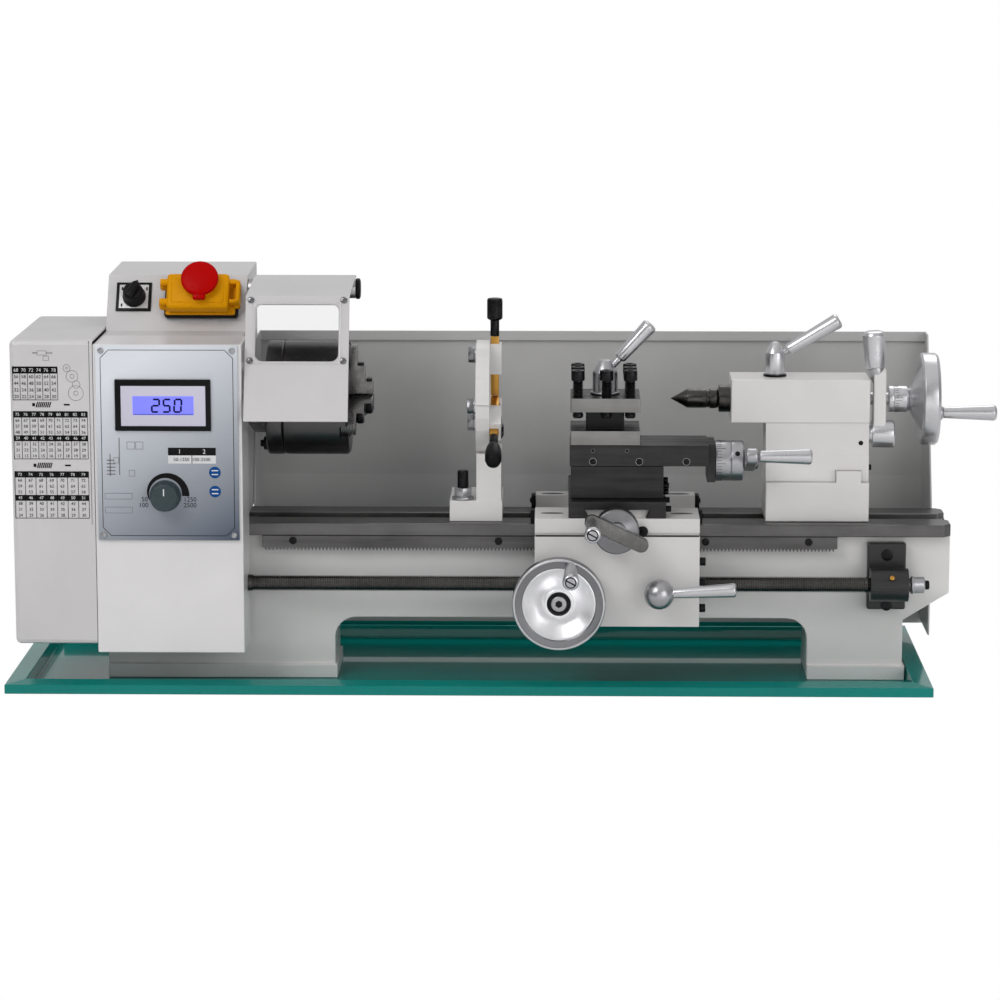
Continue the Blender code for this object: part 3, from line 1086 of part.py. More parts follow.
def make_clamp_lever():
    """Cam lever that clamps the tailstock to the bed."""
    right = TAIL_BASE_RIGHT + GAP
    shaft = turned("tailstock_clamp_lever", "bright",
                   [(0, 371), (11, 371), (12, 370), (12, right + 2.4), (8, right + 2.4), (8, 326), (0, 326)],
                   (0, CLAMP_Y, CLAMP_Z), (1, 0, 0), sides=28)
    arm = plate("lever_arm", None, "x", (right + 3, right + 14),
                around([((CLAMP_Y, CLAMP_Z), 9), ((CLAMP_Y, 266), 7)], 24))
    neck = rod("neck", None, (357, CLAMP_Y, 262), (353, CLAMP_Y, 278), 5, 6)
    grip = rod("grip", None, (353, CLAMP_Y, 277), (352, CLAMP_Y, 308), 8, 10)
    return join(shaft, arm, neck, grip)


# ---- steady rest ----
def steady_ring(inner, outer, start, end):
    """Half-ring outline in (y, z) about the spindle axis."""
    centre = (SPINDLE_Y, SPINDLE_Z)
    return arc(centre, outer, start, end, 14) + arc(centre, inner, end, start, 14)


FINGER_ANGLES = {"top": 90, "front": 210, "rear": 330}
FINGER_TIP, FINGER_END = 5, 55
BOSS_INNER, BOSS_OUTER = 22, 48.5


def finger_frame(angle):
    """Turn a shape modelled along +Z from the origin so that it points along angle in (y, z)."""
    return Matrix.Rotation(math.radians(angle - 90), 4, "X")


def radial(obj, angle):
    """Place a shape, modelled along +Z at the origin, on a finger's line."""
    turn = finger_frame(angle)
    obj.location = turn @ obj.location + metres(0, SPINDLE_Y, SPINDLE_Z)
    obj.rotation_euler = (turn.to_3x3() @ obj.rotation_euler.to_matrix()).to_euler()
    return obj


def finger_x():
    return STEADY_RIGHT - 6


def add_finger_seat(frame, angle):
    """A boss on the ring with a channel for the finger."""
    boss = block("boss", None, (STEADY_LEFT + 0.4, -9, BOSS_INNER), (STEADY_RIGHT, 9, BOSS_OUTER))
    join(frame, radial(boss, angle))
    f, x = FINGER_HALF + GAP, finger_x()
    return radial(block("channel", None, (x - f, -f, BOSS_INNER - 5), (x + f, f, STEADY_OUTER + 5)), angle)


def make_steady():
    """Steady rest: lower frame on its foot, hinged upper frame."""
    left, ring_right = STEADY_LEFT, STEADY_LEFT + 12
    foot_top = 159.5
    lower = plate("steady_lower_frame", "paint", "x", (left, ring_right), steady_ring(STEADY_INNER, STEADY_OUTER, -180, 0))
    foot_front = WAY_FRONT + 11
    column = block("column", None, (left + 0.4, foot_front + 0.4, foot_top - 2),
                   (STEADY_RIGHT, SPINDLE_Y + 26, SPINDLE_Z - STEADY_INNER - 11))
    foot = block("foot", None, (STEADY_BASE[0], foot_front, BED_TOP + GAP),
                 (STEADY_BASE[1], WAY_REAR - 4, foot_top))
    join(lower, column, foot)
    upper = plate("steady_upper_frame", "paint", "x", (left, ring_right), steady_ring(STEADY_INNER, STEADY_OUTER, 0.5, 179.5))
    cut(lower, add_finger_seat(lower, FINGER_ANGLES["front"]), add_finger_seat(lower, FINGER_ANGLES["rear"]))
    cut(upper, add_finger_seat(upper, FINGER_ANGLES["top"]))
    return lower, upper


def make_finger(side, angle):
    """Steady finger: square brass finger, its screw and knob."""
    f, x = FINGER_HALF, finger_x()
    finger = block(f"steady_finger_{side}", "brass", (x - f, -f, FINGER_TIP), (x + f, f, FINGER_END), 0.5)
    radial(finger, angle)
    screw = radial(rod("screw", None, (x, 0, FINGER_END - 5), (x, 0, FINGER_END + 15), 3.2, sides=16), angle)
    knob = radial(rod("knob", None, (x, 0, FINGER_END + 14), (x, 0, FINGER_END + 33.5), 5.5, 6.6, sides=20), angle)
    return join(finger, screw, knob)


# ---- assembly ----
def build_frame():
    make_tray()
    make_bed()
    make_rack()
    make_headstock()
    make_bearing("front_bearing", HEADSTOCK_RIGHT - BEARING_WIDTH - 1)
    make_bearing("rear_bearing", HEADSTOCK_LEFT + 1)
    make_motor()
    make_belt()
    make_gear_plate()
    make_end_bracket()
    make_gear_cover()
    make_control_box()
    make_panel()
    make_headstock_cover()
    make_splash_guard()


def build_drive():
    spindle_gear, idler_gear, screw_gear = make_gears()
    jaws = [make_jaw(i, angle) for i, angle in enumerate(jaw_angles())]
    pulley = make_pulley("spindle_pulley", SPINDLE_PULLEY_RADIUS, (SPINDLE_Y, SPINDLE_Z), SPINDLE_RADIUS + GAP)
    pivot("spindle_axis", (CHUCK_FACE, SPINDLE_Y, SPINDLE_Z), make_spindle(), make_backplate(), make_chuck(),
          *jaws, pulley, spindle_gear)
    pivot("motor_axis", (PULLEY_LEFT, MOTOR_Y, MOTOR_Z),
          make_pulley("motor_pulley", MOTOR_PULLEY_RADIUS, (MOTOR_Y, MOTOR_Z)))
    pivot("idler_axis", (GEAR_LEFT, *idler_place()), idler_gear)
    pivot("leadscrew_axis", (GEAR_LEFT, LEADSCREW_Y, LEADSCREW_Z), make_leadscrew(), screw_gear)


def build_switches():
    make_speed_knob()
    make_selector()
    base, lid, button = make_stop_switch()
    pivot("lid_hinge", on_slope(SWITCH_LEFT, (SWITCH_LOW + SWITCH_HIGH) / 2, SWITCH_BASE), lid, button)
    sheet, pane, bar = make_guard()
    pivot("guard_hinge", (GUARD_LEFT, ROD_Y, ROD_Z), sheet, pane, bar)


def build_carriage():
    pivot("carriage", (WHEEL_X, APRON_FRONT, WHEEL_Z), make_saddle(), make_apron(), make_carriage_wheel(),
          make_rack_gear(), make_half_nut(), make_half_nut_lever(), make_cross_crank())
    pivot("cross_feed", (CROSS_SCREW_X, CROSS_FRONT, CROSS_SCREW_Z), make_cross_slide())
    pivot("swivel_axis", (SWIVEL_X, SWIVEL_Y, CROSS_TOP), make_swivel_base(), make_top_slide(), make_top_crank())
    pivot("post_axis", (POST_X, SWIVEL_Y, POST_LEVELS[0]), make_tool_post(), make_post_lever())


def build_tailstock():
    pivot("tailstock", (TAIL_BASE_LEFT, SPINDLE_Y, BED_TOP), make_tail_base(), make_tail_body(), make_quill(),
          make_dead_centre(), make_tail_wheel(), make_quill_lock(), make_clamp_lever())


def build_steady():
    lower, upper = make_steady()
    fingers = {side: make_finger(side, angle) for side, angle in FINGER_ANGLES.items()}
    pivot("steady", (STEADY_LEFT, SPINDLE_Y, BED_TOP), lower, fingers["front"], fingers["rear"])
    pivot("steady_hinge", (STEADY_LEFT, SPINDLE_Y + STEADY_OUTER, SPINDLE_Z), upper, fingers["top"])


for leftover in list(bpy.data.objects):
    bpy.data.objects.remove(leftover)
lathe = bpy.data.collections.new("metal_lathe")
cutters = bpy.data.collections.new("cutters")
bpy.context.scene.collection.children.link(lathe)
bpy.context.scene.collection.children.link(cutters)
materials = {name: make_finish(name, *values) for name, values in FINISHES.items()}

build_frame()
build_drive()
build_switches()
build_carriage()
build_tailstock()
build_steady()
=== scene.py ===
"""A bench metal lathe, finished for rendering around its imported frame.

Lengths in the making functions are millimetres; MM turns them into metres.
+X points to the tailstock, -Y to the operator and +Z up.
"""
import math

import bmesh
import bpy
from mathutils import Matrix, Vector


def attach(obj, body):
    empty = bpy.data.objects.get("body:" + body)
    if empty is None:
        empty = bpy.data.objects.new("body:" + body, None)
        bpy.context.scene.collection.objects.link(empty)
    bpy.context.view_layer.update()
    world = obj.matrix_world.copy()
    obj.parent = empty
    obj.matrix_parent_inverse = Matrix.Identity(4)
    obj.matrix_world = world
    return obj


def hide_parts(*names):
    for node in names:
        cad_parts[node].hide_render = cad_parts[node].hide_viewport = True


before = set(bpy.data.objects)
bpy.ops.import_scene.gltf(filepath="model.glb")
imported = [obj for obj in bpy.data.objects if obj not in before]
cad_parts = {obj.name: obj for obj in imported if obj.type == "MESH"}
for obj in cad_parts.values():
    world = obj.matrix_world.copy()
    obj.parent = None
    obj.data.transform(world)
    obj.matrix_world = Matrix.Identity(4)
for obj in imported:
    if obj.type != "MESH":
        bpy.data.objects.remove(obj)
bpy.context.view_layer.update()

MM = 0.001
TURN = 2 * math.pi
SPINDLE = (-16, 246)                 # spindle axis, y and z
HEADSTOCK_SLOPE = ((-29, 306), (1, 352.5))      # (y, z) of the lower and upper edge
GUARD_BEND = (-89, 344.5)            # y and z of the bend above the guard's window
COVER_FRONT = -119.05                # y of the print on the gear cover
PANEL_FRONT = -121.3                 # y of the control panel's face
APRON_FRONT = -108
SPEED_KNOB = (-259, 176)             # x and z
WAYS_START = (0.1297, 0.1300)        # height in metres where the bed's paint gives way to bare steel
WAIST = (0.2282, 0.2436)             # blacked middle of the tool post, heights in metres
LEFT, RIGHT, FRONT, UP = (-1, 0, 0), (1, 0, 0), (0, -1, 0), (0, 0, 1)


# ---- node groups
def new_group(name, inputs, outputs):
    """An empty node group; inputs are (name, socket type, value), outputs are float names."""
    group = bpy.data.node_groups.new(name, "ShaderNodeTree")
    for label, kind, value in inputs:
        socket = group.interface.new_socket(label, in_out="INPUT", socket_type="NodeSocket" + kind)
        socket.default_value = value
    for label in outputs:
        group.interface.new_socket(label, in_out="OUTPUT", socket_type="NodeSocketFloat")
    return group, group.nodes.new("NodeGroupInput").outputs, group.nodes.new("NodeGroupOutput")


def noise(tree, place, scale, detail=4.0, roughness=0.55):
    """A noise texture on a vector, with its scale a number or a socket."""
    node = tree.nodes.new("ShaderNodeTexNoise")
    node.inputs["Detail"].default_value = detail
    node.inputs["Roughness"].default_value = roughness
    tree.links.new(place, node.inputs["Vector"])
    if isinstance(scale, (int, float)):
        node.inputs["Scale"].default_value = scale
    else:
        tree.links.new(scale, node.inputs["Scale"])
    return node.outputs["Fac"]


def ramp(tree, source, low, high, to_low=0.0, to_high=1.0):
    """Stretches a value from low..high to to_low..to_high."""
    node = tree.nodes.new("ShaderNodeMapRange")
    node.inputs["From Min"].default_value = low
    node.inputs["From Max"].default_value = high
    node.inputs["To Min"].default_value = to_low
    node.inputs["To Max"].default_value = to_high
    tree.links.new(source, node.inputs["Value"])
    return node.outputs["Result"]


def arithmetic(tree, operation, first, second):
    """One math node; each side is a socket or a number."""
    node = tree.nodes.new("ShaderNodeMath")
    node.operation = operation
    for i, value in enumerate((first, second)):
        if isinstance(value, (int, float)):
            node.inputs[i].default_value = value
        else:
            tree.links.new(value, node.inputs[i])
    return node.outputs[0]


def coordinate(tree, kind="Object"):
    """One of the texture coordinates."""
    return tree.nodes.new("ShaderNodeTexCoord").outputs[kind]


def separated(tree, vector):
    """The X, Y and Z outputs of a vector."""
    split = tree.nodes.new("ShaderNodeSeparateXYZ")
    tree.links.new(vector, split.inputs[0])
    return split.outputs


def blend(tree, factor, first, second):
    """A colour mix; each side is a socket or a colour."""
    mix = tree.nodes.new("ShaderNodeMix")
    mix.data_type = "RGBA"
    tree.links.new(factor, mix.inputs["Factor"])
    for side, value in (("A", first), ("B", second)):
        if isinstance(value, tuple):
            mix.inputs[side].default_value = (*value, 1)
        else:
            tree.links.new(value, mix.inputs[side])
    return mix.outputs["Result"]


def give(group, gout, *values):
    """Feeds a texture group's outputs and returns the group."""
    for value, socket in zip(values, gout.inputs):
        group.links.new(value, socket)
    return group


def make_paint_texture():
    """Sprayed paint: a fine orange peel, soft clouding and a little dust."""
    group, gin, gout = new_group("Sprayed paint", [("Peel scale", "Float", 900.0), ("Dust", "Float", 0.3)],
                                 ("Cloud", "Roughness", "Height"))
    place = coordinate(group)
    peel = noise(group, place, gin["Peel scale"], 2.0)
    cloud = ramp(group, noise(group, place, 9.0, 5.0), 0.35, 0.7)
    specks = ramp(group, noise(group, place, 260.0, 3.0, 0.7), 0.62, 0.75)
    dirt = arithmetic(group, "MULTIPLY", specks, gin["Dust"])
    shade = arithmetic(group, "MAXIMUM", arithmetic(group, "MULTIPLY", cloud, 0.5), dirt)
    return give(group, gout, shade, ramp(group, cloud, 0, 1, 0.34, 0.46), peel)


def make_machined_texture():
    """Tool marks that run along one direction, with stains."""
    settings = [("Stretch", "Vector", (1, 1, 1)), ("Mark scale", "Float", 120.0), ("Stain", "Float", 0.3)]
    group, gin, gout = new_group("Machined marks", settings, ("Shade", "Roughness", "Height"))
    place = coordinate(group)
    stretch = group.nodes.new("ShaderNodeVectorMath")
    stretch.operation = "MULTIPLY"
    group.links.new(place, stretch.inputs[0])
    group.links.new(gin["Stretch"], stretch.inputs[1])
    marks = noise(group, stretch.outputs[0], gin["Mark scale"], 6.0, 0.65)
    stain = arithmetic(group, "MULTIPLY", ramp(group, noise(group, place, 22.0, 4.0), 0.4, 0.7), gin["Stain"])
    shade = arithmetic(group, "ADD", arithmetic(group, "MULTIPLY", marks, 0.7), stain)
    return give(group, gout, shade, ramp(group, marks, 0.3, 0.7, 0.24, 0.46), marks)


def make_grain_texture():
    """Fine even grain for cast, moulded and rubber surfaces."""
    group, gin, gout = new_group("Fine grain", [("Grain scale", "Float", 1500.0)], ("Shade", "Roughness", "Height"))
    grain = noise(group, coordinate(group), gin["Grain scale"], 3.0, 0.6)
    return give(group, gout, grain, ramp(group, grain, 0.3, 0.7, 0.38, 0.55), grain)


PAINT_TEXTURE = make_paint_texture()
MACHINED_TEXTURE = make_machined_texture()
GRAIN_TEXTURE = make_grain_texture()


# ---- finishes
def new_material(name):
    """A material with its node tree and principled shader."""
    material = bpy.data.materials.new(name)
    material.use_nodes = True
    return material, material.node_tree, material.node_tree.nodes["Principled BSDF"]


def textured(name, texture, light, dark, settings, bump, height, metallic=0.0, coat=0.0, rough_shift=0.0,
             specular=0.5):
    """A finish whose colour, roughness and bump come from one of the texture groups."""
    material, tree, shader = new_material(name)
    pattern = tree.nodes.new("ShaderNodeGroup")
    pattern.node_tree = texture
    for label, value in settings.items():
        pattern.inputs[label].default_value = value
    tree.links.new(blend(tree, pattern.outputs[0], light, dark), shader.inputs["Base Color"])
    tree.links.new(arithmetic(tree, "ADD", pattern.outputs["Roughness"], rough_shift), shader.inputs["Roughness"])
    dent = tree.nodes.new("ShaderNodeBump")
    dent.inputs["Strength"].default_value = bump
    dent.inputs["Distance"].default_value = height
    tree.links.new(pattern.outputs["Height"], dent.inputs["Height"])
    tree.links.new(dent.outputs["Normal"], shader.inputs["Normal"])
    for label, value in (("Metallic", metallic), ("Coat Weight", coat), ("Coat Roughness", 0.12),
                         ("Specular IOR Level", specular)):
        shader.inputs[label].default_value = value
    return material


def recolour(material, factor, colour):
    """Mixes another colour over a finish's own by a factor."""
    tree = material.node_tree
    base = tree.nodes["Principled BSDF"].inputs["Base Color"]
    tree.links.new(blend(tree, factor, base.links[0].from_socket, colour), base)
    return material


def painted(name, colour, dust=0.25, rough_shift=0.0, coat=0.15, specular=0.5):
    dark = tuple(c * 0.8 for c in colour)
    return textured(name, PAINT_TEXTURE, colour, dark, {"Dust": dust}, 0.12, 0.00012, coat=coat,
                    rough_shift=rough_shift, specular=specular)


def machined(name, light, dark, stretch, scale=120.0, rough_shift=0.0, bump=0.18, stain=0.3):
    settings = {"Stretch": stretch, "Mark scale": scale, "Stain": stain}
    return textured(name, MACHINED_TEXTURE, light, dark, settings, bump, 0.00008, metallic=1.0,
                    rough_shift=rough_shift)


def grained(name, colour, rough_shift, scale=1500.0, specular=0.5):
    dark = tuple(c * 0.6 for c in colour)
    return textured(name, GRAIN_TEXTURE, colour, dark, {"Grain scale": scale}, 0.15, 0.0001,
                    rough_shift=rough_shift, specular=specular)


ALONG_X, ALONG_Y, ALONG_Z, EVEN = (0.06, 1, 1), (1, 0.06, 1), (1, 1, 0.06), (1, 1, 1)

cream_paint = painted("cream paint", (0.72, 0.705, 0.698))
box_paint = painted("control box paint", (0.76, 0.745, 0.75), 0.1, -0.06, 0.6)
cover_paint = painted("cover paint", (0.62, 0.605, 0.61), 0.1, -0.06, 0.6)
teal_paint = painted("teal paint", (0.0003, 0.225, 0.196), 0.35, -0.2, 0.6, 0.05)
teal_paint.node_tree.nodes["Principled BSDF"].inputs["Coat Roughness"].default_value = 0.04
grey_sheet = painted("grey sheet paint", (0.52, 0.516, 0.512), 0.3, 0.05, 0.05, 0.3)
black_paint = painted("black paint", (0.012, 0.012, 0.013), 0.05)
yellow_plastic = grained("yellow plastic", (0.88, 0.38, 0.001), rough_shift=-0.1, scale=900, specular=0.06)
red_plastic = grained("red plastic", (0.56, 0.001, 0.001), rough_shift=-0.12, scale=900, specular=0.05)
black_plastic = grained("black plastic", (0.006, 0.006, 0.007), rough_shift=-0.05, specular=0.14)
dark_slate = grained("knob plastic", (0.046, 0.07, 0.079), rough_shift=-0.05, specular=0.3)
rubber = grained("belt rubber", (0.015, 0.015, 0.015), rough_shift=0.3)
brass = machined("brass", (0.72, 0.40, 0.09), (0.36, 0.17, 0.03), ALONG_Z)
ground_steel = machined("ground steel", (0.56, 0.55, 0.55), (0.26, 0.25, 0.25), ALONG_X, 160)
rack_steel = machined("rack steel", (0.17, 0.165, 0.165), (0.05, 0.048, 0.048), ALONG_X, 140)
dark_cast = machined("dark machined cast iron", (0.066, 0.064, 0.064), (0.026, 0.025, 0.025), ALONG_X, 200, 0.06)
dark_bar = machined("dark turned steel", (0.13, 0.125, 0.12), (0.03, 0.029, 0.028), ALONG_Y, 120, -0.08)
screw_steel = machined("leadscrew steel", (0.19, 0.186, 0.18), (0.05, 0.048, 0.046), EVEN, 2000, -0.08)
chuck_steel = machined("chuck steel", (0.115, 0.113, 0.115), (0.085, 0.083, 0.085), EVEN, 2500, -0.06, 0.03, 0.08)
jaw_steel = machined("jaw steel", (0.24, 0.235, 0.23), (0.08, 0.078, 0.077), EVEN, 160, -0.06)
bright_chrome = machined("bright turned steel", (0.68, 0.68, 0.70), (0.56, 0.56, 0.58), EVEN, 2500, -0.06, 0.02, 0.1)
satin_chrome = machined("satin steel", (0.50, 0.50, 0.52), (0.38, 0.38, 0.395), EVEN, 2500, -0.03, 0.04, 0.15)
polished_dish = machined("polished dish", (0.97, 0.97, 0.98), (0.88, 0.88, 0.90), EVEN, 2500, 0.02, 0.02, 0.1)
dark_chrome = machined("dark chrome", (0.27, 0.27, 0.285), (0.17, 0.17, 0.175), EVEN, 2500, -0.10, 0.04, 0.15)
black_oxide = machined("black oxide", (0.03, 0.03, 0.032), (0.009, 0.009, 0.01), EVEN, 160, -0.02)


def plain(name, colour, roughness=0.4, emission=0.0):
    """A small flat mark's finish, with a faint print grain."""
    dark = tuple(c * 0.85 for c in colour)
    material = textured(name, GRAIN_TEXTURE, colour, dark, {"Grain scale": 2500.0}, 0.03, 0.00005,
                        rough_shift=roughness - 0.46, specular=0.1)
    if emission:
        shader = material.node_tree.nodes["Principled BSDF"]
        shader.inputs["Emission Color"].default_value = (*colour, 1)
        shader.inputs["Emission Strength"].default_value = emission
    return material


print_black = plain("print black", (0.008, 0.008, 0.009))
print_grey = plain("print grey", (0.2, 0.2, 0.21))
print_white = plain("print white", (0.75, 0.75, 0.76))
display_blue = plain("display blue", (0.19, 0.20, 0.90), 0.3, emission=0.5)
display_digit = plain("display digits", (0.004, 0.005, 0.05), 0.3)
display_white = plain("display surround", (0.66, 0.64, 0.76), 0.3)
disc_blue = plain("sign blue", (0.006, 0.07, 0.26), 0.35)


def make_panel_finish():
    """Satin blue-grey panel with painted shade that darkens it towards its lower right."""
    material = machined("satin panel", (0.78, 0.81, 0.86), (0.71, 0.74, 0.79), ALONG_X, 700, 0.05, 0.02, 0.1)
    tree = material.node_tree
    tree.nodes["Principled BSDF"].inputs["Metallic"].default_value = 0.12
    place = separated(tree, coordinate(tree))
    painted_shade_slope = arithmetic(tree, "SUBTRACT", arithmetic(tree, "MULTIPLY", place["X"], 0.6), place["Z"])
    # Painted shade: the base colour is mixed towards a dark blue-grey down to the lower right.
    return recolour(material, ramp(tree, painted_shade_slope, -0.46, -0.255), (0.05, 0.07, 0.11))


def make_glass():
    material, tree, shader = new_material("clear pane")
    shader.inputs["Base Color"].default_value = (0.88, 0.88, 0.885, 1)
    shader.inputs["Transmission Weight"].default_value = 1.0
    shader.inputs["IOR"].default_value = 1.1
    haze = ramp(tree, noise(tree, coordinate(tree), 40.0), 0.3, 0.8, 0.0, 0.03)
    tree.links.new(haze, shader.inputs["Roughness"])
    return material


def make_bed_finish():
    """Cream paint on the casting, bare ground steel on the ways."""
    material = painted("bed casting", (0.72, 0.708, 0.70))
    tree = material.node_tree
    mask = ramp(tree, separated(tree, coordinate(tree))["Z"], *WAYS_START)
    metal = tree.nodes.new("ShaderNodeGroup")
    metal.node_tree = MACHINED_TEXTURE
    metal.inputs["Stretch"].default_value = ALONG_X
    metal.inputs["Mark scale"].default_value = 140
    tree.links.new(mask, tree.nodes["Principled BSDF"].inputs["Metallic"])
    return recolour(material, mask, blend(tree, metal.outputs["Shade"], (0.20, 0.195, 0.195), (0.06, 0.058, 0.058)))


def make_tool_post_finish():
    """Planed steel on the sides of the plates; blacked waist and upward faces."""
    material = machined("tool post steel", (0.33, 0.325, 0.32), (0.11, 0.107, 0.105), ALONG_X, 90)
    tree = material.node_tree
    height = separated(tree, coordinate(tree))["Z"]
    facing = separated(tree, coordinate(tree, "Normal"))["Z"]
    low, high = WAIST
    waist = arithmetic(tree, "MINIMUM", ramp(tree, height, low - 0.0002, low),
                       ramp(tree, height, high, high + 0.0002, 1.0, 0.0))
    black = arithmetic(tree, "MAXIMUM", waist, ramp(tree, facing, 0.5, 0.8))
    return recolour(material, black, (0.02, 0.02, 0.021))


panel_finish = make_panel_finish()
tool_post_finish = make_tool_post_finish()
clear_pane = make_glass()
bed_finish = make_bed_finish()


# ---- making pieces
def ready():
    """Object mode with nothing selected."""
    if bpy.context.object and bpy.context.object.mode != "OBJECT":
        bpy.ops.object.mode_set(mode="OBJECT")
    bpy.ops.object.select_all(action="DESELECT")


def hold(obj):
    """One object selected and active."""
    ready()
    obj.select_set(True)
    bpy.context.view_layer.objects.active = obj


def edit(obj, kind="VERT", everything=False):
    """Edit mode on one object with nothing or everything selected."""
    hold(obj)
    bpy.ops.object.mode_set(mode="EDIT")
    bpy.ops.mesh.select_mode(type=kind)
    bpy.ops.mesh.select_all(action="SELECT" if everything else "DESELECT")
    return bmesh.from_edit_mesh(obj.data)


def shut():
    """Faces turned outwards, then back to object mode."""
    bpy.ops.mesh.select_all(action="SELECT")
    bpy.ops.mesh.normals_make_consistent(inside=False)
    bpy.ops.object.mode_set(mode="OBJECT")


def apply_all(obj):
    """Modifiers and place go into the mesh."""
    hold(obj)
    for change in list(obj.modifiers):
        bpy.ops.object.modifier_apply(modifier=change.name)
    bpy.ops.object.transform_apply(location=True, rotation=True, scale=True)
    return obj


def round_edges(obj, width, segments=2, angle=35):
    """A bevel on the sharp edges."""
    bevel = obj.modifiers.new("edges", "BEVEL")
    bevel.width = width * MM
    bevel.segments = segments
    bevel.limit_method = "ANGLE"
    bevel.angle_limit = math.radians(angle)
    bevel.use_clamp_overlap = True
    return obj


def finish_piece(obj, name, finish, angle=30, body=None):
    """Name, finish, smooth shading and the body it rides on."""
    apply_all(obj)
    obj.name = name
    obj.data.name = name
    obj.data.materials.clear()
    obj.data.materials.append(finish)
    bpy.ops.object.shade_smooth_by_angle(angle=math.radians(angle))
    if body:
        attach(obj, body)
    return obj


def slab(name, finish, low, high, bevel, segments=2, body=None, rotation=None, centre=None):
    """A block between two corners with rounded edges; rotation turns it about its centre."""
    ready()
    low, high = Vector(low) * MM, Vector(high) * MM
    bpy.ops.mesh.primitive_cube_add(size=1, location=(low + high) / 2 if centre is None else Vector(centre) * MM)
    obj = bpy.context.object
    obj.scale = high - low
    bpy.ops.object.transform_apply(location=False, rotation=False, scale=True)
    if bevel:
        edit(obj, "EDGE", True)
        bpy.ops.mesh.bevel(offset=bevel * MM, segments=segments, affect="EDGES")
        bpy.ops.object.mode_set(mode="OBJECT")
    if rotation is not None:
        obj.rotation_euler = rotation.to_euler()
    return finish_piece(obj, name, finish, body=body)


def cube(size, place=(0, 0, 0), turn=None):
    """A plain block of full sizes about a place."""
    ready()
    bpy.ops.mesh.primitive_cube_add(size=1, location=Vector(place) * MM)
    obj = bpy.context.object
    obj.scale = Vector(size) * MM
    if turn is not None:
        obj.rotation_euler = turn.to_euler()
    bpy.ops.object.transform_apply(location=True, rotation=True, scale=True)
    return obj


def aim(axis):
    """The turn that points a piece's own up along an axis."""
    return Vector(axis).to_track_quat("Z", "Y").to_euler()


def turned(name, finish, profile, place, axis, steps, edge=0.3, angle=30, body=None):
    """A turned piece: a disc drawn out and resized step by step through (radius, height)."""
    ready()
    radius, height = profile[0]
    bpy.ops.mesh.primitive_circle_add(vertices=steps, radius=radius * MM, fill_type="NGON",
                                      location=(0, 0, height * MM))
    obj = bpy.context.object
    bpy.ops.object.transform_apply(location=True, rotation=False, scale=False)
    edit(obj, everything=True)
    for r, h in profile[1:]:
        bpy.ops.mesh.extrude_region_move(TRANSFORM_OT_translate={"value": (0, 0, (h - height) * MM)})
        if r != radius:
            bpy.ops.transform.resize(value=(r / radius, r / radius, 1), center_override=(0, 0, h * MM))
        radius, height = r, h
    shut()
    if edge:
        round_edges(obj, edge, 2, 25)
    obj.rotation_euler = aim(axis)
    obj.location = Vector(place) * MM
    return finish_piece(obj, name, finish, angle, body)


def turnings(place, axis, *rows):
    """Turned pieces on one axis, to be joined; each row is finish, profile, steps, edge."""
    return [turned("turning", finish, profile, place, axis, *rest) for finish, profile, *rest in rows]


def taper(start, end, r_start, r_end):
    """A bright tapered handle with softly domed ends."""
    start, end = Vector(start), Vector(end)
    length = (end - start).length
    profile = [(r_start * 0.7, 0), (r_start, r_start * 0.35)]
    profile += [(r_start + (r_end - r_start) * t, length * t) for t in (0.3, 0.6, 0.85)]
    profile += [(r_end, length - r_end * 0.35), (r_end * 0.86, length - r_end * 0.105), (r_end * 0.6, length)]
    return turned("grip", bright_chrome, profile, start, end - start, 40, 0.25)


def cut_with(target, tools):
    """Boolean cuts, applied; the tools are removed."""
    for tool in tools:
        change = target.modifiers.new("cut", "BOOLEAN")
        change.operation = "DIFFERENCE"
        change.object = tool
        hold(target)
        bpy.ops.object.modifier_apply(modifier=change.name)
        bpy.data.objects.remove(tool)
    return target


def prism(sides, radius, depth, place, axis, turn=0.0):
    """A plain many-sided cutter."""
    ready()
    bpy.ops.mesh.primitive_cylinder_add(vertices=sides, radius=radius * MM, depth=depth * MM)
    obj = bpy.context.object
    obj.rotation_euler = (aim(axis).to_matrix() @ Matrix.Rotation(turn, 3, "Z")).to_euler()
    obj.location = Vector(place) * MM
    bpy.ops.object.transform_apply(location=True, rotation=True, scale=True)
    return obj


def copied(obj, name, move, body):
    """A copy with its own mesh, moved in millimetres."""
    twin = obj.copy()
    twin.data = obj.data.copy()
    twin.name = name
    twin.data.name = name
    bpy.context.scene.collection.objects.link(twin)
    twin.parent = None
    twin.matrix_world = Matrix.Identity(4)
    twin.data.transform(Matrix.Translation(Vector(move) * MM))
    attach(twin, body)
    return twin


def swung(obj, matrix):
    """The piece's mesh moved by a matrix."""
    obj.data.transform(matrix)
    obj.data.update()
    return obj


def joined(name, pieces, body=None):
    """Several pieces made one object, each keeping its finish."""
    ready()
    for piece in pieces:
        piece.select_set(True)
    bpy.context.view_layer.objects.active = pieces[0]
    bpy.ops.object.join()
    obj = bpy.context.object
    obj.name = name
    obj.data.name = name
    if body:
        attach(obj, body)
    return obj


def socket_screw(name, place, axis, radius, height, body):
    """A cap screw with a hexagon socket."""
    axis = Vector(axis).normalized()
    head = turned(name, black_oxide, [(radius, 0), (radius, height)], place, axis, 28, radius * 0.12)
    cut_with(head, [prism(6, radius * 0.5, height * 1.1, Vector(place) + axis * height, axis)])
    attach(head, body)
    return head


def hex_head(name, finish, place, axis, radius, height):
    """A hexagon head with chamfered corners."""
    ready()
    axis = Vector(axis).normalized()
    bpy.ops.mesh.primitive_cylinder_add(vertices=6, radius=radius * MM, depth=height * MM)
    obj = bpy.context.object
    round_edges(obj, radius * 0.08, 2)
    obj.rotation_euler = aim(axis)
    obj.location = (Vector(place) + axis * height / 2) * MM
    return finish_piece(obj, name, finish)


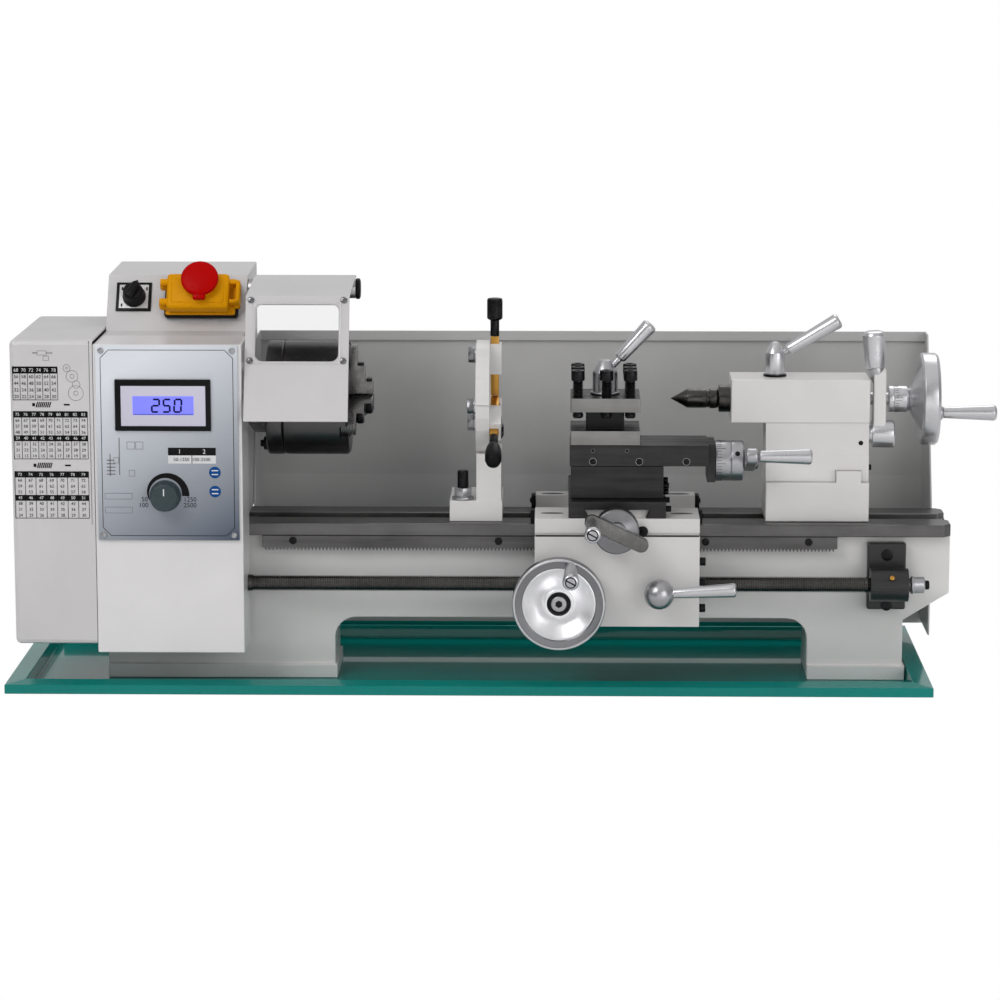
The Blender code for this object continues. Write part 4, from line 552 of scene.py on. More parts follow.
def cross_screw(name, place, axis, radius, body, finish=None):
    """A pan-head screw with a crossed slot."""
    axis = Vector(axis).normalized()
    r = radius
    head = turned(name, finish or satin_chrome, [(r, 0), (r, r * 0.25), (r * 0.8, r * 0.5), (r * 0.3, r * 0.6)],
                  place, axis, 24, 0.05)
    tip = Vector(place) + axis * r * 0.6
    cut_with(head, [cube((r * 1.2, r * 0.26, r * 0.5), tip, aim(axis).to_matrix() @ Matrix.Rotation(turn, 3, "Z"))
                    for turn in (0, math.pi / 2)])
    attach(head, body)
    return head


def outline_plate(name, finish, points, span, facing, bevel, segments=2, body=None):
    """A flat outline given thickness along x, y or z: one n-gon face drawn out."""
    ready()
    bpy.ops.mesh.primitive_circle_add(vertices=len(points), radius=1, fill_type="NGON")
    obj = bpy.context.object
    for vertex, (a, b) in zip(obj.data.vertices, points):
        vertex.co = Vector({"x": (span[0], a, b), "y": (a, span[0], b), "z": (a, b, span[0])}[facing]) * MM
    obj.data.update()
    edit(obj, everything=True)
    step = Vector([axis == facing for axis in "xyz"]) * (span[1] - span[0]) * MM
    bpy.ops.mesh.extrude_region_move(TRANSFORM_OT_translate={"value": step})
    shut()
    if bevel:
        round_edges(obj, bevel, segments)
    return finish_piece(obj, name, finish, body=body)


def around(circles):
    """The outline stretched round circles given as (centre, radius)."""
    outline = []
    for i in range(64):
        a = TURN * i / 64
        ahead = Vector((math.cos(a), math.sin(a)))
        centre, radius = max(circles, key=lambda circle: ahead.dot(circle[0]) + circle[1])
        outline.append(tuple(Vector(centre) + ahead * radius))
    return outline


def lettering(finish, words, size, place, depth=0.1):
    """Plain numbers as a thin raised print that faces the operator."""
    ready()
    bpy.ops.object.text_add()
    obj = bpy.context.object
    obj.data.body = str(words)
    obj.data.size = size * MM
    obj.data.align_x = obj.data.align_y = "CENTER"
    obj.data.extrude = depth * MM / 2
    obj.data.resolution_u = 3
    hold(obj)
    bpy.ops.object.convert(target="MESH")
    obj = bpy.context.object
    obj.rotation_euler = (math.pi / 2, 0, 0)
    obj.location = Vector(place) * MM
    return finish_piece(obj, "number", finish)


def tilted_bar(finish, size, angle, centre):
    """A thin bar of full sizes, turned about y."""
    half = Vector(size) / 2
    return slab("bar", finish, -half, half, 0, rotation=Matrix.Rotation(angle, 3, "Y"), centre=centre)


def bar_line(finish, low, high, y):
    """A thin printed bar on a face that looks at the operator."""
    return slab("bar", finish, (low[0], y - 0.12, low[1]), (high[0], y, high[1]), 0)


def outlined_box(inside, low, high, y, lift):
    """A printed outline: a grey bar with a smaller one over it."""
    return [bar_line(print_grey, low, high, y),
            bar_line(inside, [v + 0.4 for v in low], [v - 0.4 for v in high], y - lift)]


def keep(node, finish, bevel=0.0, segments=2):
    """A CAD node that stays: welded, edges rounded, and finished."""
    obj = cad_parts[node]
    obj.data.materials.clear()
    obj.data.materials.append(finish)
    weld = obj.modifiers.new("weld", "WELD")
    weld.merge_threshold = 0.00001
    if bevel:
        round_edges(obj, bevel, segments, 38)


# ---- bed and tray
def finish_bed():
    keep("chip_tray", teal_paint, 0.6)
    slab("tray_rear_strip", teal_paint, (-385, 127.8, 9), (385, 129.6, 23), 0.4, body="frame")
    keep("bed_casting", bed_finish, 0.9)
    keep("rack", rack_steel)
    keep("splash_guard", grey_sheet, 0.3)
    keep("leadscrew_bracket", black_paint, 0.8)
    for i, x in enumerate((-155, 25, 206, 296)):
        socket_screw(f"rack_screw_{i + 1}", (x, -58.8, 125.5), FRONT, 3.3, 1.6, "frame")
    for i, z in enumerate((114.5, 70)):
        socket_screw(f"bracket_screw_{i + 1}", (364.5, -60, z), FRONT, 5, 1.4, "frame")
    turned("oil_cup", brass, [(2.2, 0), (2.2, 1.2), (1.5, 1.6)], (366.5, -89, 99.5), (0, -0.8, 0.6), 28, 0.2,
           body="frame")


def make_thread():
    """The leadscrew: a helical ridge wound along its visible length, and plain ends."""
    y, z, pitch, radius = -75, 91, 2.0, 7.15
    start, end = -190, 346
    ready()
    bpy.ops.mesh.primitive_circle_add(vertices=4, radius=1, fill_type="NOTHING")
    ridge = bpy.context.object
    section = [(radius - 1.3, 0.2), (radius, 0.7), (radius, 1.1), (radius - 1.3, 1.6)]
    for vertex, (r, h) in zip(ridge.data.vertices, section):
        vertex.co = (r * MM, 0, h * MM)
    wind = ridge.modifiers.new("wind", "SCREW")
    wind.screw_offset = pitch * MM
    wind.iterations = int((end - start) / pitch)
    wind.steps = wind.render_steps = 16
    ridge.location = (start * MM, y * MM, z * MM)
    ridge.rotation_euler = aim(RIGHT)
    apply_all(ridge)
    edit(ridge, everything=True)
    bpy.ops.mesh.fill_holes(sides=8)
    shut()
    finish_piece(ridge, "thread", screw_steel, 20)
    core, tail, tip = turnings(
        (0, y, z), RIGHT,
        (dark_bar, [(5.5, -346), (6, -345.5), (6, -319.2), (7.1, -319.2), (7.1, start + 1), (radius - 1.1, start + 1),
                    (radius - 1.1, end - 1), (7.1, end - 1), (7.1, end + 0.4), (6, end + 0.4), (6, 384)], 32),
        (satin_chrome, [(5, 381), (5, 383.6), (7.4, 384), (7.8, 384.6), (7.8, 386), (7.2, 386.6), (7.2, 395),
                        (6.4, 396)], 40, 0.2),
        (black_oxide, [(4, 395), (4, 399.4), (3.4, 400)], 28, 0.2))
    screw = joined("leadscrew", [core, ridge, tail, tip], "leadscrew")
    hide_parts("leadscrew")


# ---- headstock
def finish_headstock():
    keep("headstock_casting", cream_paint, 1.0)
    keep("front_bearing", ground_steel)
    keep("rear_bearing", ground_steel)
    keep("motor_housing", black_paint, 0.5)
    keep("drive_belt", rubber)
    keep("gear_bracket", cream_paint, 0.6)
    keep("gear_cover", cover_paint, 0.5)
    keep("control_box", box_paint, 1.0)
    keep("headstock_cover", cover_paint, 1.6, 3)
    keep("control_panel", panel_finish, 0.25)
    for node in ("spindle_pulley", "spindle_gear", "motor_pulley", "idler_gear", "leadscrew_gear", "spindle"):
        keep(node, ground_steel)


def make_number_table(name, low, high, rows, columns, headings, start, step):
    """A printed table: dark heading rows, thin lines and plain numbers."""
    (left, bottom), (right, top) = low, high
    width, height = (right - left) / columns, (top - bottom) / rows
    lines = [((left + width * i - 0.15, bottom), (left + width * i + 0.3, top)) for i in range(columns + 1)]
    lines += [((left, bottom + height * i - 0.15), (right, bottom + height * i + 0.35)) for i in (0, rows)]
    lines += [((left, bottom + height * row), (right, bottom + height * (row + 1))) for row in headings]
    joined(name + "_grid", [bar_line(print_black, *line, COVER_FRONT) for line in lines], "frame")
    numbers = []
    for i in range(rows * columns):
        row, column = divmod(i, columns)
        place = (left + width * (column + 0.5), COVER_FRONT - 0.16, bottom + height * (row + 0.5))
        numbers.append(lettering(print_white if row in headings else print_black, start + i * step, height * 0.72,
                                 place, 0.06))
    joined(name + "_numbers", numbers, "frame")


GEAR_RINGS = ((-342, 285.5, 3), (-342, 285.5, 0.8), (-337.5, 278.5, 5), (-337.5, 278.5, 1.8), (-334, 271.5, 3.2),
              (-334.5, 264, 6.4), (-334.5, 264, 1.8))      # x, z and radius


def make_gear_cover_print():
    """Three tables, the gear diagram and plain marks on the gear cover."""
    make_number_table("feed_table", (-388.5, 258), (-350, 286.5), 5, 6, (4,), 20, 2)
    make_number_table("metric_table", (-388.5, 207), (-325, 248), 8, 9, (3, 7), 12, 1)
    make_number_table("inch_table", (-388.5, 155.5), (-325, 196), 8, 7, (3, 7), 24, 1)
    rings = []
    middle = COVER_FRONT - 0.05
    for x, z, r in GEAR_RINGS:
        ready()
        bpy.ops.mesh.primitive_torus_add(location=Vector((x, middle, z)) * MM, rotation=(math.pi / 2, 0, 0),
                                         major_radius=r * MM, minor_radius=0.16 * MM, major_segments=40,
                                         minor_segments=6)
        rings.append(finish_piece(bpy.context.object, "ring", print_grey))
    joined("gear_diagram", rings, "frame")
    marks = []
    for z in (254, 201.5):
        marks.append(bar_line(print_black, (-372, z - 1.4), (-369.6, z + 1.4), COVER_FRONT))
        marks += [tilted_bar(print_black, (1, 0.12, 4.8), 0.3, (-368 + k * 1.6, middle, z)) for k in range(8)]
        marks.append(bar_line(print_black, (-345, z - 0.7), (-340, z + 0.7), COVER_FRONT))
    for low, high in (((-367, 296.5), (-359, 300.5)), ((-359, 297.8), (-354, 299.2)), ((-371, 298), (-367, 299)),
                      ((-362, 292), (-357, 296))):
        marks += outlined_box(cover_paint, low, high, COVER_FRONT, 0.07)
    marks.append(bar_line(print_grey, (-323, 150), (-322.5, 309), COVER_FRONT))
    joined("thread_marks", marks, "frame")


def make_panel_border(face):
    """The border line with its cut corners, and the four screws."""
    left, right, low, high, cut = -313, -200, 141, 301.5, 7
    corners = [(left + cut, low), (right - cut, low), (right, low + cut), (right, high - cut), (right - cut, high),
               (left + cut, high), (left, high - cut), (left, low + cut)]
    lines = []
    for (x, z), (x2, z2) in zip(corners, corners[1:] + corners[:1]):
        lines.append(tilted_bar(print_black, (math.hypot(x2 - x, z2 - z), 0.12, 0.5), -math.atan2(z2 - z, x2 - x),
                                ((x + x2) / 2, face - 0.06, (z + z2) / 2)))
    joined("panel_border", lines, "frame")
    for i, (x, z) in enumerate(((-312.5, 301), (-200.5, 301), (-312.5, 141.5), (-200.5, 141.5))):
        cross_screw(f"panel_screw_{i + 1}", (x, face, z), FRONT, 2.6, "frame")


def make_display(face):
    """A blue display with three seven-segment digits."""
    slab("display_bezel", black_plastic, (-301, face - 2.2, 232), (-219, face - 0.05, 276.4), 1.0, 3, body="frame")
    slab("display_surround", display_white, (-295.7, face - 2.45, 236.5), (-223.5, face - 2.1, 270.9), 0.15,
         body="frame")
    slab("display_screen", display_blue, (-285.6, face - 2.65, 246), (-233.6, face - 2.4, 262.2), 0.1, body="frame")
    segments = {"2": "abdeg", "5": "acdfg", "0": "abcdef"}
    bars = {"a": (0, 5.4, 1), "g": (0, 0, 1), "d": (0, -5.4, 1), "f": (-2.9, 2.7, 0), "b": (2.9, 2.7, 0),
            "e": (-2.9, -2.7, 0), "c": (2.9, -2.7, 0)}
    digits = []
    for k, digit in enumerate("250"):
        for segment in segments[digit]:
            dx, dz, flat = bars[segment]
            x, z = -266 + k * 9.5 + dx + dz * 0.1, 254.1 + dz
            w, h = (2.5, 0.8) if flat else (0.8, 2.4)
            digits.append(bar_line(display_digit, (x - w, z - h), (x + w, z + h), face - 2.66))
    digits.append(bar_line(display_digit, (-285, 246.4), (-234.2, 246.8), face - 2.66))
    joined("display_number", digits, "frame")


PANEL_BOXES = (((-311, 172.6), (-287.5, 178)), ((-311, 160.5), (-287.5, 166)), ((-291.5, 216), (-284.5, 222.5)),
               ((-284, 216), (-277.5, 222.5)), ((-290, 192.5), (-285, 198)), ((-303, 204), (-298.5, 209)))


def make_panel_details():
    """Border line, screws, display, dial table and signs on the control panel."""
    face = PANEL_FRONT
    make_panel_border(face)
    make_display(face)
    table = [bar_line(print_black, (-256.3, 210.8), (-215.4, 217.5), face - 0.02),
             bar_line(print_white, (-256.3, 203.8), (-215.4, 210.8), face - 0.02),
             bar_line(print_black, (-236.2, 203.8), (-235.6, 217.5), face - 0.1),
             lettering(print_white, "1            2", 5.5, (-235.9, face - 0.25, 214)),
             lettering(print_black, "50-1250  100-2500", 4.1, (-235.9, face - 0.25, 207.2))]
    joined("speed_table", table, "frame")
    for i, z in enumerate((196.1, 179.6)):
        turned(f"sign_disc_{i + 1}", disc_blue, [(5, 0), (5, 0.25)], (-216.4, face - 0.02, z), FRONT, 40, 0.05,
               body="frame")
        bars = [slab("bar", print_white, (-219.2, face - 0.4, z + dz), (-213.6, face - 0.2, z + dz + 0.9), 0)
                for dz in (-2.2, 1.2)]
        joined(f"sign_bars_{i + 1}", bars, "frame")
    boxes = []
    for low, high in PANEL_BOXES:
        boxes += outlined_box(panel_finish, low, high, face - 0.02, 0.08)
    lines = [((-298.4, 194), (-297.6, 226)), ((-306.4, 193), (-305.6, 212))]
    lines += [((-309, 194 + 3 * k), (-301.5, 194.9 + 3 * k)) for k in range(5)]
    boxes += [bar_line(print_grey, *line, face - 0.02) for line in lines]
    joined("panel_boxes", boxes, "frame")
    cx, cz = SPEED_KNOB[0], SPEED_KNOB[1] + 1
    outer, inner = [], []
    for i in range(31):
        a = math.radians(200 - i * 205 / 30)
        reach = 14.6 + 6 * (i / 30) ** 0.7
        outer.append((cx + reach * math.cos(a), cz + reach * math.sin(a)))
        inner.insert(0, (cx + 14.2 * math.cos(a), cz + 14.2 * math.sin(a)))
    outline_plate("speed_scale", print_black, outer + inner, (face - 0.02, face - 0.14), "y", 0, body="frame")
    numbers = [lettering(print_black, value, 5.6, (x, face - 0.1, z))
               for x, z, value in ((-277, 172.5, 50), (-278, 167.5, 100), (-238, 172.5, 1250), (-238, 167.5, 2500))]
    joined("speed_numbers", numbers, "frame")


def make_speed_knob():
    """Fluted knob with a skirt and a pointer line."""
    x, z = SPEED_KNOB
    place = (x, PANEL_FRONT - 0.3, z)
    knob = turned("cap", dark_slate, [(13.5, 0.2), (13.5, 3), (12.4, 4), (11.6, 14), (10.4, 15), (9.6, 14.6)],
                  place, FRONT, 60, 0.4)
    angles = [TURN * i / 12 for i in range(12)]
    cut_with(knob, [prism(16, 1.3, 12, (x + 12.9 * math.cos(a), -132.1, z + 12.9 * math.sin(a)), (0, 1, 0))
                    for a in angles])
    shaft = turned("shaft", ground_steel, [(3, -6.5), (3, 0.3)], place, FRONT, 24, 0.1)
    line = slab("line", print_white, (x - 0.5, -136.3, z + 2), (x + 0.5, -135.9, z + 8), 0)
    whole = joined("speed_knob_piece", [knob, shaft, line], "speed_knob")
    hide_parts("speed_knob")


# ---- switches on the slope
def slope():
    """The headstock slope's upward and outward directions."""
    (y0, z0), (y1, z1) = HEADSTOCK_SLOPE
    up = Vector((0, y1 - y0, z1 - z0)).normalized()
    return up, Vector((0, -up.z, up.y))


def on_slope(x, along, out=0):
    """A point on the headstock's slope: across, up along it and out of it."""
    up, outward = slope()
    return Vector((x, *HEADSTOCK_SLOPE[0])) + up * along + outward * out


def slope_turn():
    """The turn from the axes to the slope's own directions."""
    up, outward = slope()
    return Matrix((Vector((1, 0, 0)), up, outward)).transposed()


def slope_slab(name, finish, low, high, outs, bevel, segments=2, body=None):
    """A block lying on the headstock's slope."""
    size = (high[0] - low[0], high[1] - low[1], outs[1] - outs[0])
    centre = on_slope((low[0] + high[0]) / 2, (low[1] + high[1]) / 2, sum(outs) / 2)
    return slab(name, finish, [-s / 2 for s in size], [s / 2 for s in size], bevel, segments,
                rotation=slope_turn(), centre=centre, body=body)


def make_selector():
    """Turning selector switch with its square face, marks and a pointed wing."""
    outward = slope()[1]
    slope_slab("selector_border", black_plastic, (-312, 19), (-281, 47), (0.3, 1.4), 0.5, body="frame")
    slope_slab("selector_face", cover_paint, (-309.3, 21.6), (-283.7, 44.4), (1.2, 1.75), 0.2, body="frame")
    x, up = -296, 32.5
    skirt = turned("skirt", black_plastic, [(10.2, 1.8), (10.2, 4), (9.2, 7), (8.6, 14), (7.4, 15.2)],
                   on_slope(x, up), outward, 48, 0.4)
    wing = slope_slab("wing", black_plastic, (x - 4.4, up - 9), (x + 4.4, up + 12.5), (4, 18.5), 2.6, 4)
    edit(wing)
    for side in (1, -1):
        bpy.ops.mesh.select_all(action="SELECT")
        bpy.ops.mesh.bisect(plane_co=on_slope(x, up + 9.5, 10) * MM, use_fill=True, clear_outer=True,
                            plane_no=(slope_turn() @ Vector((side, 1, 0))).normalized())
    bpy.ops.object.mode_set(mode="OBJECT")
    pivot = Matrix.Translation(on_slope(x, up) * MM)
    wing.data.transform(pivot @ Matrix.Rotation(-0.5, 4, outward) @ pivot.inverted())
    shaft = turned("shaft", ground_steel, [(3, -6), (3, 2)], on_slope(x, up), outward, 24, 0.1)
    knob = joined("selector_knob_piece", [skirt, wing, shaft], "selector")
    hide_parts("selector_knob")
    for i, (dx, da) in enumerate(((-10.8, 8), (10.8, 8), (-10.8, -8))):
        slope_slab(f"selector_mark_{i + 1}", print_black, (x + dx - 0.7, up + da - 1.5),
                   (x + dx + 0.7, up + da + 1.5), (1.72, 1.85), 0, body="frame")


def make_stop_switch():
    """Yellow switch: base, hinged lid with a rim, lugs, latch and the red mushroom button."""
    outward = slope()[1]

    def yellow(low, high, outs, bevel, segments):
        return slope_slab("part", yellow_plastic, low, high, outs, bevel, segments)

    base = slope_slab("base", black_plastic, (-268.5, 11), (-203.5, 47), (0.3, 8.5), 3.2, 4)
    rim = yellow((-267, 12), (-206, 46.5), (6.5, 10), 1.2, 3)
    ears = [yellow((-272.5, a), (-264, a + 7.5), (7, 15), 2.4, 4) for a in (16, 35)]
    block = yellow((-208, 18), (-201.5, 42), (6, 12), 1.8, 3)
    whole = joined("stop_switch_base", [base, rim, block] + ears, "frame")
    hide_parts("stop_switch_box")
    lid = yellow((-265.5, 12.5), (-211, 46), (10.4, 22.5), 3.4, 5)
    step = yellow((-262, 16), (-214.5, 43), (12, 23.8), 2.8, 4)
    pins = [turned("pin", yellow_plastic, [(3.1, 0), (3.1, 7), (2.4, 7.4)], on_slope(-271.5, a, 18.4), RIGHT,
                   28, 0.3) for a in (19.5, 38.5)]
    latch = [yellow(low, high, (12.5, 19), 1.4, 3) for low, high in (
        ((-213, 19), (-202, 22.6)), ((-213, 37.5), (-202, 41.1)), ((-205.4, 19), (-201.6, 41)))]
    neck = turned("neck", yellow_plastic, [(13.6, 20), (13.6, 25), (12.6, 26)], on_slope(-236, 35), outward, 56, 0.4)
    whole = joined("stop_lid_piece", [lid, step, neck] + pins + latch, "stop_lid")
    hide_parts("stop_switch_lid")
    dome = turned("dome", red_plastic,
                  [(6, 19), (6, 26.6), (12.5, 27), (15.4, 27.6), (16.4, 29.2), (16.4, 31), (15.6, 32.5),
                   (12.5, 33.5), (6, 34.1), (2, 34.2)], on_slope(-236, 36.5), outward, 72, 0.3, 40)
    tab = slope_slab("tab", red_plastic, (-241.5, 16.5), (-230.5, 30), (27.2, 31.5), 1.6, 3)
    button = joined("stop_button_piece", [dome, tab], "stop_button")
    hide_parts("stop_button")


# ---- chuck guard
def finish_guard():
    """The chuck guard's sheet and window stay; its rod, screws and window trim are made."""
    keep("guard_sheet", cover_paint, 0.5)
    keep("guard_window", clear_pane)
    bar = joined("guard_rod_finished", turnings(
        (0, 4, 340), RIGHT,
        (ground_steel, [(3.3, -224.5), (3.5, -224), (3.5, -196.7), (8.5, -196.7), (8.5, -102)], 48),
        (black_plastic, [(8.6, -101.8), (9.2, -101.4), (9.2, -98.8), (7.6, -97.8)], 48)), "guard")
    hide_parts("guard_rod")
    down = Vector((0, -40, -103)).normalized()
    outward = Vector((0, down.z, -down.y))
    for i, (x, d) in enumerate(((-186.3, 4), (-106.7, 4), (-186.3, 57.5), (-106.7, 57.5))):
        place = Vector((x, *GUARD_BEND)) + down * d + outward * 0.05
        cross_screw(f"window_screw_{i + 1}", place, outward, 2.9, "guard", dark_chrome)
    make_window_trim(down, outward)


def make_window_trim(down, outward):
    """A thin frame with rounded corners round the guard's window."""
    turn = Matrix((Vector((1, 0, 0)), -down, outward)).transposed()
    middle = Vector((-146.5, *GUARD_BEND)) + down * 33 + outward * 0.35
    trim = slab("window_trim", cover_paint, (-37.5, -27, -0.3), (37.5, 27, 0.3), 0, rotation=turn, centre=middle)
    hole = slab("hole", cover_paint, (-35.6, -25.1, -3), (35.6, 25.1, 3), 0)
    for edge in edit(hole, "EDGE").edges:
        edge.select_set(abs((edge.verts[0].co - edge.verts[1].co).normalized().z) > 0.9)
    bmesh.update_edit_mesh(hole.data)
    bpy.ops.mesh.bevel(offset=6.5 * MM, segments=8, affect="EDGES")
    bpy.ops.object.mode_set(mode="OBJECT")
    hole.data.transform(Matrix.Translation(middle * MM) @ turn.to_4x4())
    cut_with(trim, [hole])
    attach(trim, "guard")


# ---- spindle and chuck
def about_spindle(angle):
    """A turn about the spindle's axis."""
    here = Matrix.Translation(Vector((0, *SPINDLE)) * MM)
    return here @ Matrix.Rotation(angle, 4, "X") @ here.inverted()


def make_backplate():
    """The plate behind the chuck with its three studs and nuts."""
    y, z = SPINDLE
    pieces = turnings((0, y, z), RIGHT, (chuck_steel, [(12, -178), (48.6, -178), (50, -176.8), (50, -164.4),
                                                       (49, -163.3), (12, -163.3)], 96, 0.2))
    for i in range(3):
        a = math.radians(30 + 120 * i)
        place = (-178, y + 41 * math.cos(a), z + 41 * math.sin(a))
        pieces.append(hex_head("nut", black_oxide, place, LEFT, 6, 5))
        pieces += turnings(place, LEFT, (black_oxide, [(3, 0), (3, 8)], 20, 0.2))
    whole = joined("chuck_backplate_finished", pieces, "spindle")
    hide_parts("chuck_backplate")


def make_chuck_body():
    """The chuck's body with jaw slots, key holes and front screws."""
    y, z = SPINDLE
    body = turned("body", chuck_steel, [(12, -163), (48.8, -163), (50, -162), (50, -108.4), (48, -106), (20, -106),
                                        (18, -106.8), (12, -106.8)], (0, y, z), RIGHT, 96, 0.25)
    cuts = []
    for i in range(3):
        a = TURN * i / 3
        cuts.append(swung(cube((14, 12, 52), (-106.3, y, z + 27)), about_spindle(a)))
        a += math.pi / 3
        out = Vector((0, -math.sin(a), math.cos(a)))
        cuts.append(prism(4, 6.4, 14, Vector((-134, y, z)) + out * 48, out, math.pi / 4))
    cut_with(body, cuts)
    screws = []
    for i in range(3):
        for offset in (0.45, 1.65):
            a = TURN * i / 3 + offset
            screws += turnings((-106.2, y - 34 * math.sin(a), z + 34 * math.cos(a)), RIGHT,
                               (black_oxide, [(4.4, 0), (4.4, 0.9), (2.4, 0.9), (2.2, 0.4)], 24, 0.1))
    whole = joined("chuck_body_finished", [body] + screws, "spindle")
    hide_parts("chuck_body")


def make_jaws():
    """Three stepped jaws with painted shade: black blocks on two of their steps stand in for the shaded notches."""
    y, z = SPINDLE
    steps = [(4, -86), (15, -86), (15, -93), (29, -93), (29, -99.5), (46, -99.5), (46, -113), (7, -113), (4, -103)]
    for i in range(3):
        jaw = outline_plate("jaw", jaw_steel, [(x, z + r) for r, x in steps], (y - 5.7, y + 5.7), "y", 0.45)
        cut_with(jaw, [cube((1.1, 14, 2), (-112 + k * 2.4, y, z + 45.6)) for k in range(5)])
        # Painted shade: the black blocks stand in for the shade in the notches at the steps.
        pads = [slab("pad", black_oxide, (x - 6, y - 4.6, z + r - 0.5), (x - 1, y + 4.6, z + r + 2.4), 0.4)
                for r, x in ((15, -86), (29, -93))]
        jaw = swung(joined(f"jaw_finished_{i + 1}", [jaw] + pads), about_spindle(TURN * i / 3))
        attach(jaw, f"jaw_{i + 1}")
        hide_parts(f"chuck_jaw_{i + 1}")


# ---- steady rest
def flute(knob, place):
    """Every second face of a knob's side sunk a little."""
    bm = edit(knob, "FACE")
    middles = {face: face.calc_center_median() - Vector(place) * MM for face in bm.faces}
    sides = [face for face, middle in middles.items()
             if abs(face.normal.z) < 0.2 and middle.z > 71.2 * MM and face.calc_area() > 5e-6]
    for k, face in enumerate(sorted(sides, key=lambda face: math.atan2(middles[face].y, middles[face].x))):
        face.select_set(k % 2 == 0)
    bmesh.update_edit_mesh(knob.data)
    bpy.ops.mesh.inset(thickness=0.08 * MM, depth=-0.35 * MM, use_individual=True)
    bpy.ops.object.mode_set(mode="OBJECT")


def steady_finger(side, angle, body):
    """Brass finger with a shoe, its screw and a knob: knurled on top, ball-ended in front."""
    x, y, z = place = (21.0, *SPINDLE)
    bar = slab("bar", brass, (x - 3.6, y - 3.6, z + 2.8), (x + 3.6, y + 3.6, z + 55), 0.5)
    knob = (black_oxide, [(4, 68.6), (6.3, 70), (6.8, 71), (6.8, 86.4), (6.2, 88), (3, 88.5)], 48, 0.2)
    if side == "front":
        knob = (black_plastic, [(4, 66), (4.8, 67), (5.6, 69), (6.8, 74), (7.3, 81), (7.2, 86.5), (5.8, 90.6),
                                (2, 92)], 48, 0.2, 40)
    shank, knob = turnings(place, UP, (black_oxide, [(3.9, 54.8), (3.9, 70)], 28, 0.2), knob)
    if side != "front":
        flute(knob, place)
    whole = swung(joined(f"steady_finger_{side}_finished", [bar, shank, knob]),
                  about_spindle(math.radians(angle - 90)))
    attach(whole, body)
    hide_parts(f"steady_finger_{side}")


def steady_nut(name, angle, radius, body):
    """A chromed clamp nut on the ring's left face."""
    place = Vector((5, *SPINDLE)) + Vector((0, 0, radius))
    nut = hex_head(name, dark_chrome, place, LEFT, 7, 7.2)
    washer = turned("washer", satin_chrome, [(7.8, 0), (7.8, 1.4)], place, LEFT, 32, 0.2)
    whole = swung(joined(name, [nut, washer]), about_spindle(math.radians(angle - 90)))
    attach(whole, body)


def finish_steady():
    keep("steady_lower_frame", cream_paint, 0.9)
    keep("steady_upper_frame", cream_paint, 0.9)
    for side, angle in (("top", 90), ("front", 210), ("rear", 330)):
        steady_finger(side, angle, f"finger_{side}")
    steady_nut("steady_nut_top", 90, 38, "steady_top")
    steady_nut("steady_nut_front", 210, 35, "steady")
    steady_nut("steady_nut_clamp", 181.5, 43, "steady")
    steady_nut("steady_nut_rear", 330, 35, "steady")
    x, y, z = -6.5, -40, 160
    base = turned("washer", satin_chrome, [(9.5, 0), (9.5, 2), (7.6, 2.4)], (x, y, z), UP, 40, 0.2)
    nut = hex_head("nut", satin_chrome, (x, y, z + 2.2), UP, 8.4, 8)
    stud = turned("stud", black_oxide, [(4.9, 0), (4.9, 24), (4.2, 25.2)], (x, y, z), UP, 28, 0.2)
    joined("steady_hold_down", [base, nut, stud], "steady")


# ---- carriage
def make_wipers():
    """A black wiper with its screw at each end of the saddle's two sides."""
    number = 0
    for x, out in ((57, -1), (199, 1)):
        for front, rear in ((-60, -49.5), (14, 30)):
            number += 1
            end = x + out * 4
            slab(f"way_wiper_{number}", black_plastic, (min(x, end), front, 141.6), (max(x, end), rear, 153.5), 1.2,
                 3, body="carriage")
            cross_screw(f"wiper_screw_{number}", (end, (front + rear) / 2, 148), (out, 0, 0), 2.4, "carriage",
                        black_oxide)


def finish_carriage():
    keep("saddle", cream_paint, 0.7)
    keep("apron", cream_paint, 1.1)
    keep("rack_gear", ground_steel)
    keep("half_nut", brass, 0.3)
    for node in ("cross_slide", "compound_base", "top_slide"):
        keep(node, dark_cast, 0.5)
    keep("tool_post", tool_post_finish, 0.8)
    make_wipers()
    slab("apron_seam", black_paint, (57.6, -108.06, 138.7), (198.4, -100, 139.8), 0.1, body="carriage")
    # Painted shade: a black disc stands in for the shade inside the hole in the saddle's front.
    turned("saddle_hole", black_oxide, [(4.6, 0), (4.6, 0.3)], (150, -107.9, 143.6), FRONT, 32, 0.05, body="carriage")
    for i, z in enumerate((116, 97.5, 75)):
        socket_screw(f"apron_side_screw_{i + 1}", (199, -100, z), RIGHT, 3.6, 5.5, "carriage")
    for i, (x, y) in enumerate(((72, -78), (184, -78), (72, 22), (184, 22))):
        # Painted shade: flat black ovals stand in for the shade inside the oil slots.
        slot_shade = turned(f"oil_slot_{i + 1}", black_paint, [(4.6, 0), (4.6, 0.12)], (0, 0, 154), UP, 32, 0.02)
        slot_shade.data.transform(Matrix.Translation(Vector((x, y, 0)) * MM) @ Matrix.Diagonal((2.2, 0.8, 1, 1)))
        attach(slot_shade, "carriage")


def slotted_end(x, y, z):
    """The slotted screw in the front end of a handle, with painted shade: a black ring stands in for its recess and a
    black bar for its slot.
    """
    ring, head = turnings((x, y, z), FRONT, (black_oxide, [(4.9, 0), (4.9, 0.25)], 36, 0.05),
                          (satin_chrome, [(3.9, 0.2), (3.9, 0.6), (3.5, 0.9)], 36, 0.1))
    return [ring, head, tilted_bar(black_oxide, (7.8, 0.2, 1.2), 0.5, (x, y - 0.95, z))]


